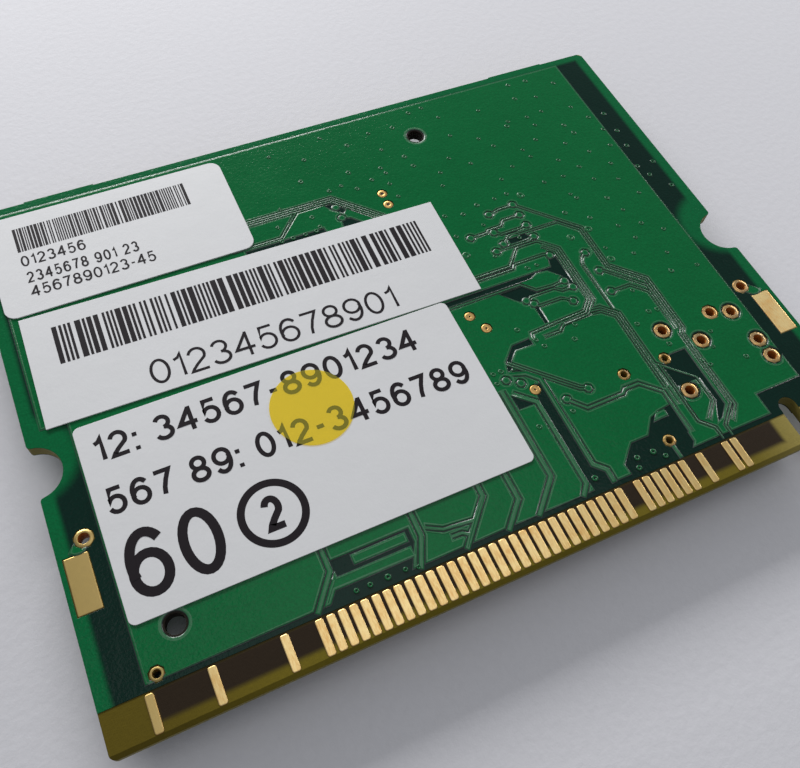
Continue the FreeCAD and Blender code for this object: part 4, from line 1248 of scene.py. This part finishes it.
def addFillet(bm, low, high, axis, way, run, rise):
    edge = high[axis] if way > 0 else low[axis]
    a, b = low[1 - axis] + 0.02, high[1 - axis] - 0.02
    rows = []
    for where, shrink in ((a, 0.55), (a + 0.08, 1.0), (b - 0.08, 1.0), (b, 0.55)):
        row = []
        for far, tall in ((0.0, 1.0), (0.18, 0.55), (0.45, 0.24), (0.75, 0.08), (1.0, 0.0)):
            along = edge + way * run * far * shrink
            place = (along, where) if axis == 0 else (where, along)
            row.append(bm.verts.new(spot(*place, coatBottom - rise * tall * shrink)))
        rows.append(row)
    for first, second in zip(rows, rows[1:]):
        strip(bm, first, second)


def makeSolder():
    bm = bmesh.new()
    land = solder["land"]
    joined = [(kind + "_ends", kind + "_bodies") for kind in solder["kinds"]]
    joined += [(kind + "_leads", kind + "_body") for kind in ("memory_chip", "regulator")]
    for ends, bodies in joined:
        leads = ends.endswith("leads")
        run = solder["leadRun" if leads else "endRun"]
        middles = [(low + high) / 2 for low, high in islands(bodies)]
        for low, high in islands(ends):
            here = (low + high) / 2
            body = min(middles, key=lambda m: (m - here).length)
            axis = 0 if not leads and abs(here.x - body.x) > abs(here.y - body.y) else 1
            way = 1 if here[axis] > body[axis] else -1
            rise = (high.z - low.z) * solder["leadRise" if leads else "endRise"]
            addFillet(bm, low, high, axis, way, run, rise)
            pad = [low.x - land, low.y - land, high.x + land, high.y + land]
            pad[axis + (2 if way > 0 else 0)] += way * (run + land)
            if leads:
                near = high[axis] if way > 0 else low[axis]
                pad[axis + (0 if way > 0 else 2)] = near - way * solder["leadLand"]
            slab(bm, *pad, coatBottom + 0.001, coatBottom - 0.02, 0.08, 0.04)
    piece = newPiece("solder_fillets", bm, solderMetal, "solder")
    faceDown(piece)
    smooth(piece, 60)


def seenBelow(x, y):  # writing that reads rightly from below runs the other way
    return lambda px, py: (x - px, y + py)


def makeFrontPrint():
    bm = bmesh.new()
    height = coatBottom - underside["printLift"]
    lines = [[(x0, y0), (x1, y0), (x1, y1), (x0, y1), (x0, y0)] for x0, y0, x1, y1 in underside["frames"]]
    lines += [[(x0, y0), (x0, y1), (x1, y1), (x1, y0)] for x0, y0, x1, y1 in underside["brackets"]]
    for points in lines:
        addStroke(bm, points, underside["lineWidth"], height)
    for words, place, tall in underside["numbers"]:
        addWords(bm, words, 0.0, 0.0, tall, underside["digitWeight"], height, seenBelow(*place))
    faceDown(newPiece("front_print", bm, whiteInk, "paper"))
    bm = bmesh.new()
    for words, place, tall, weight, node in underside["marks"]:
        level = levelOf(node, 0) - underside["markLift"]
        addWords(bm, words, 0.0, 0.0, tall, weight, level, seenBelow(*place))
    level = levelOf("tantalum_capacitor_bodies", 0) - underside["markLift"]
    for x0, y0, x1, y1 in underside["bars"]:
        bm.faces.new([bm.verts.new(spot(x, y, level)) for x, y in ((x0, y0), (x1, y0), (x1, y1), (x0, y1))])
    low = levelOf("memory_chip_body", 0)
    lathe(bm, *underside["firstPin"], [(0.22, low - 0.006), (0.19, low - 0.012)], 24)
    faceDown(newPiece("part_markings", bm, greyMark, "paper"))


makeFrontTracks()
makeSolder()
makeFrontPrint()
print("component side made")
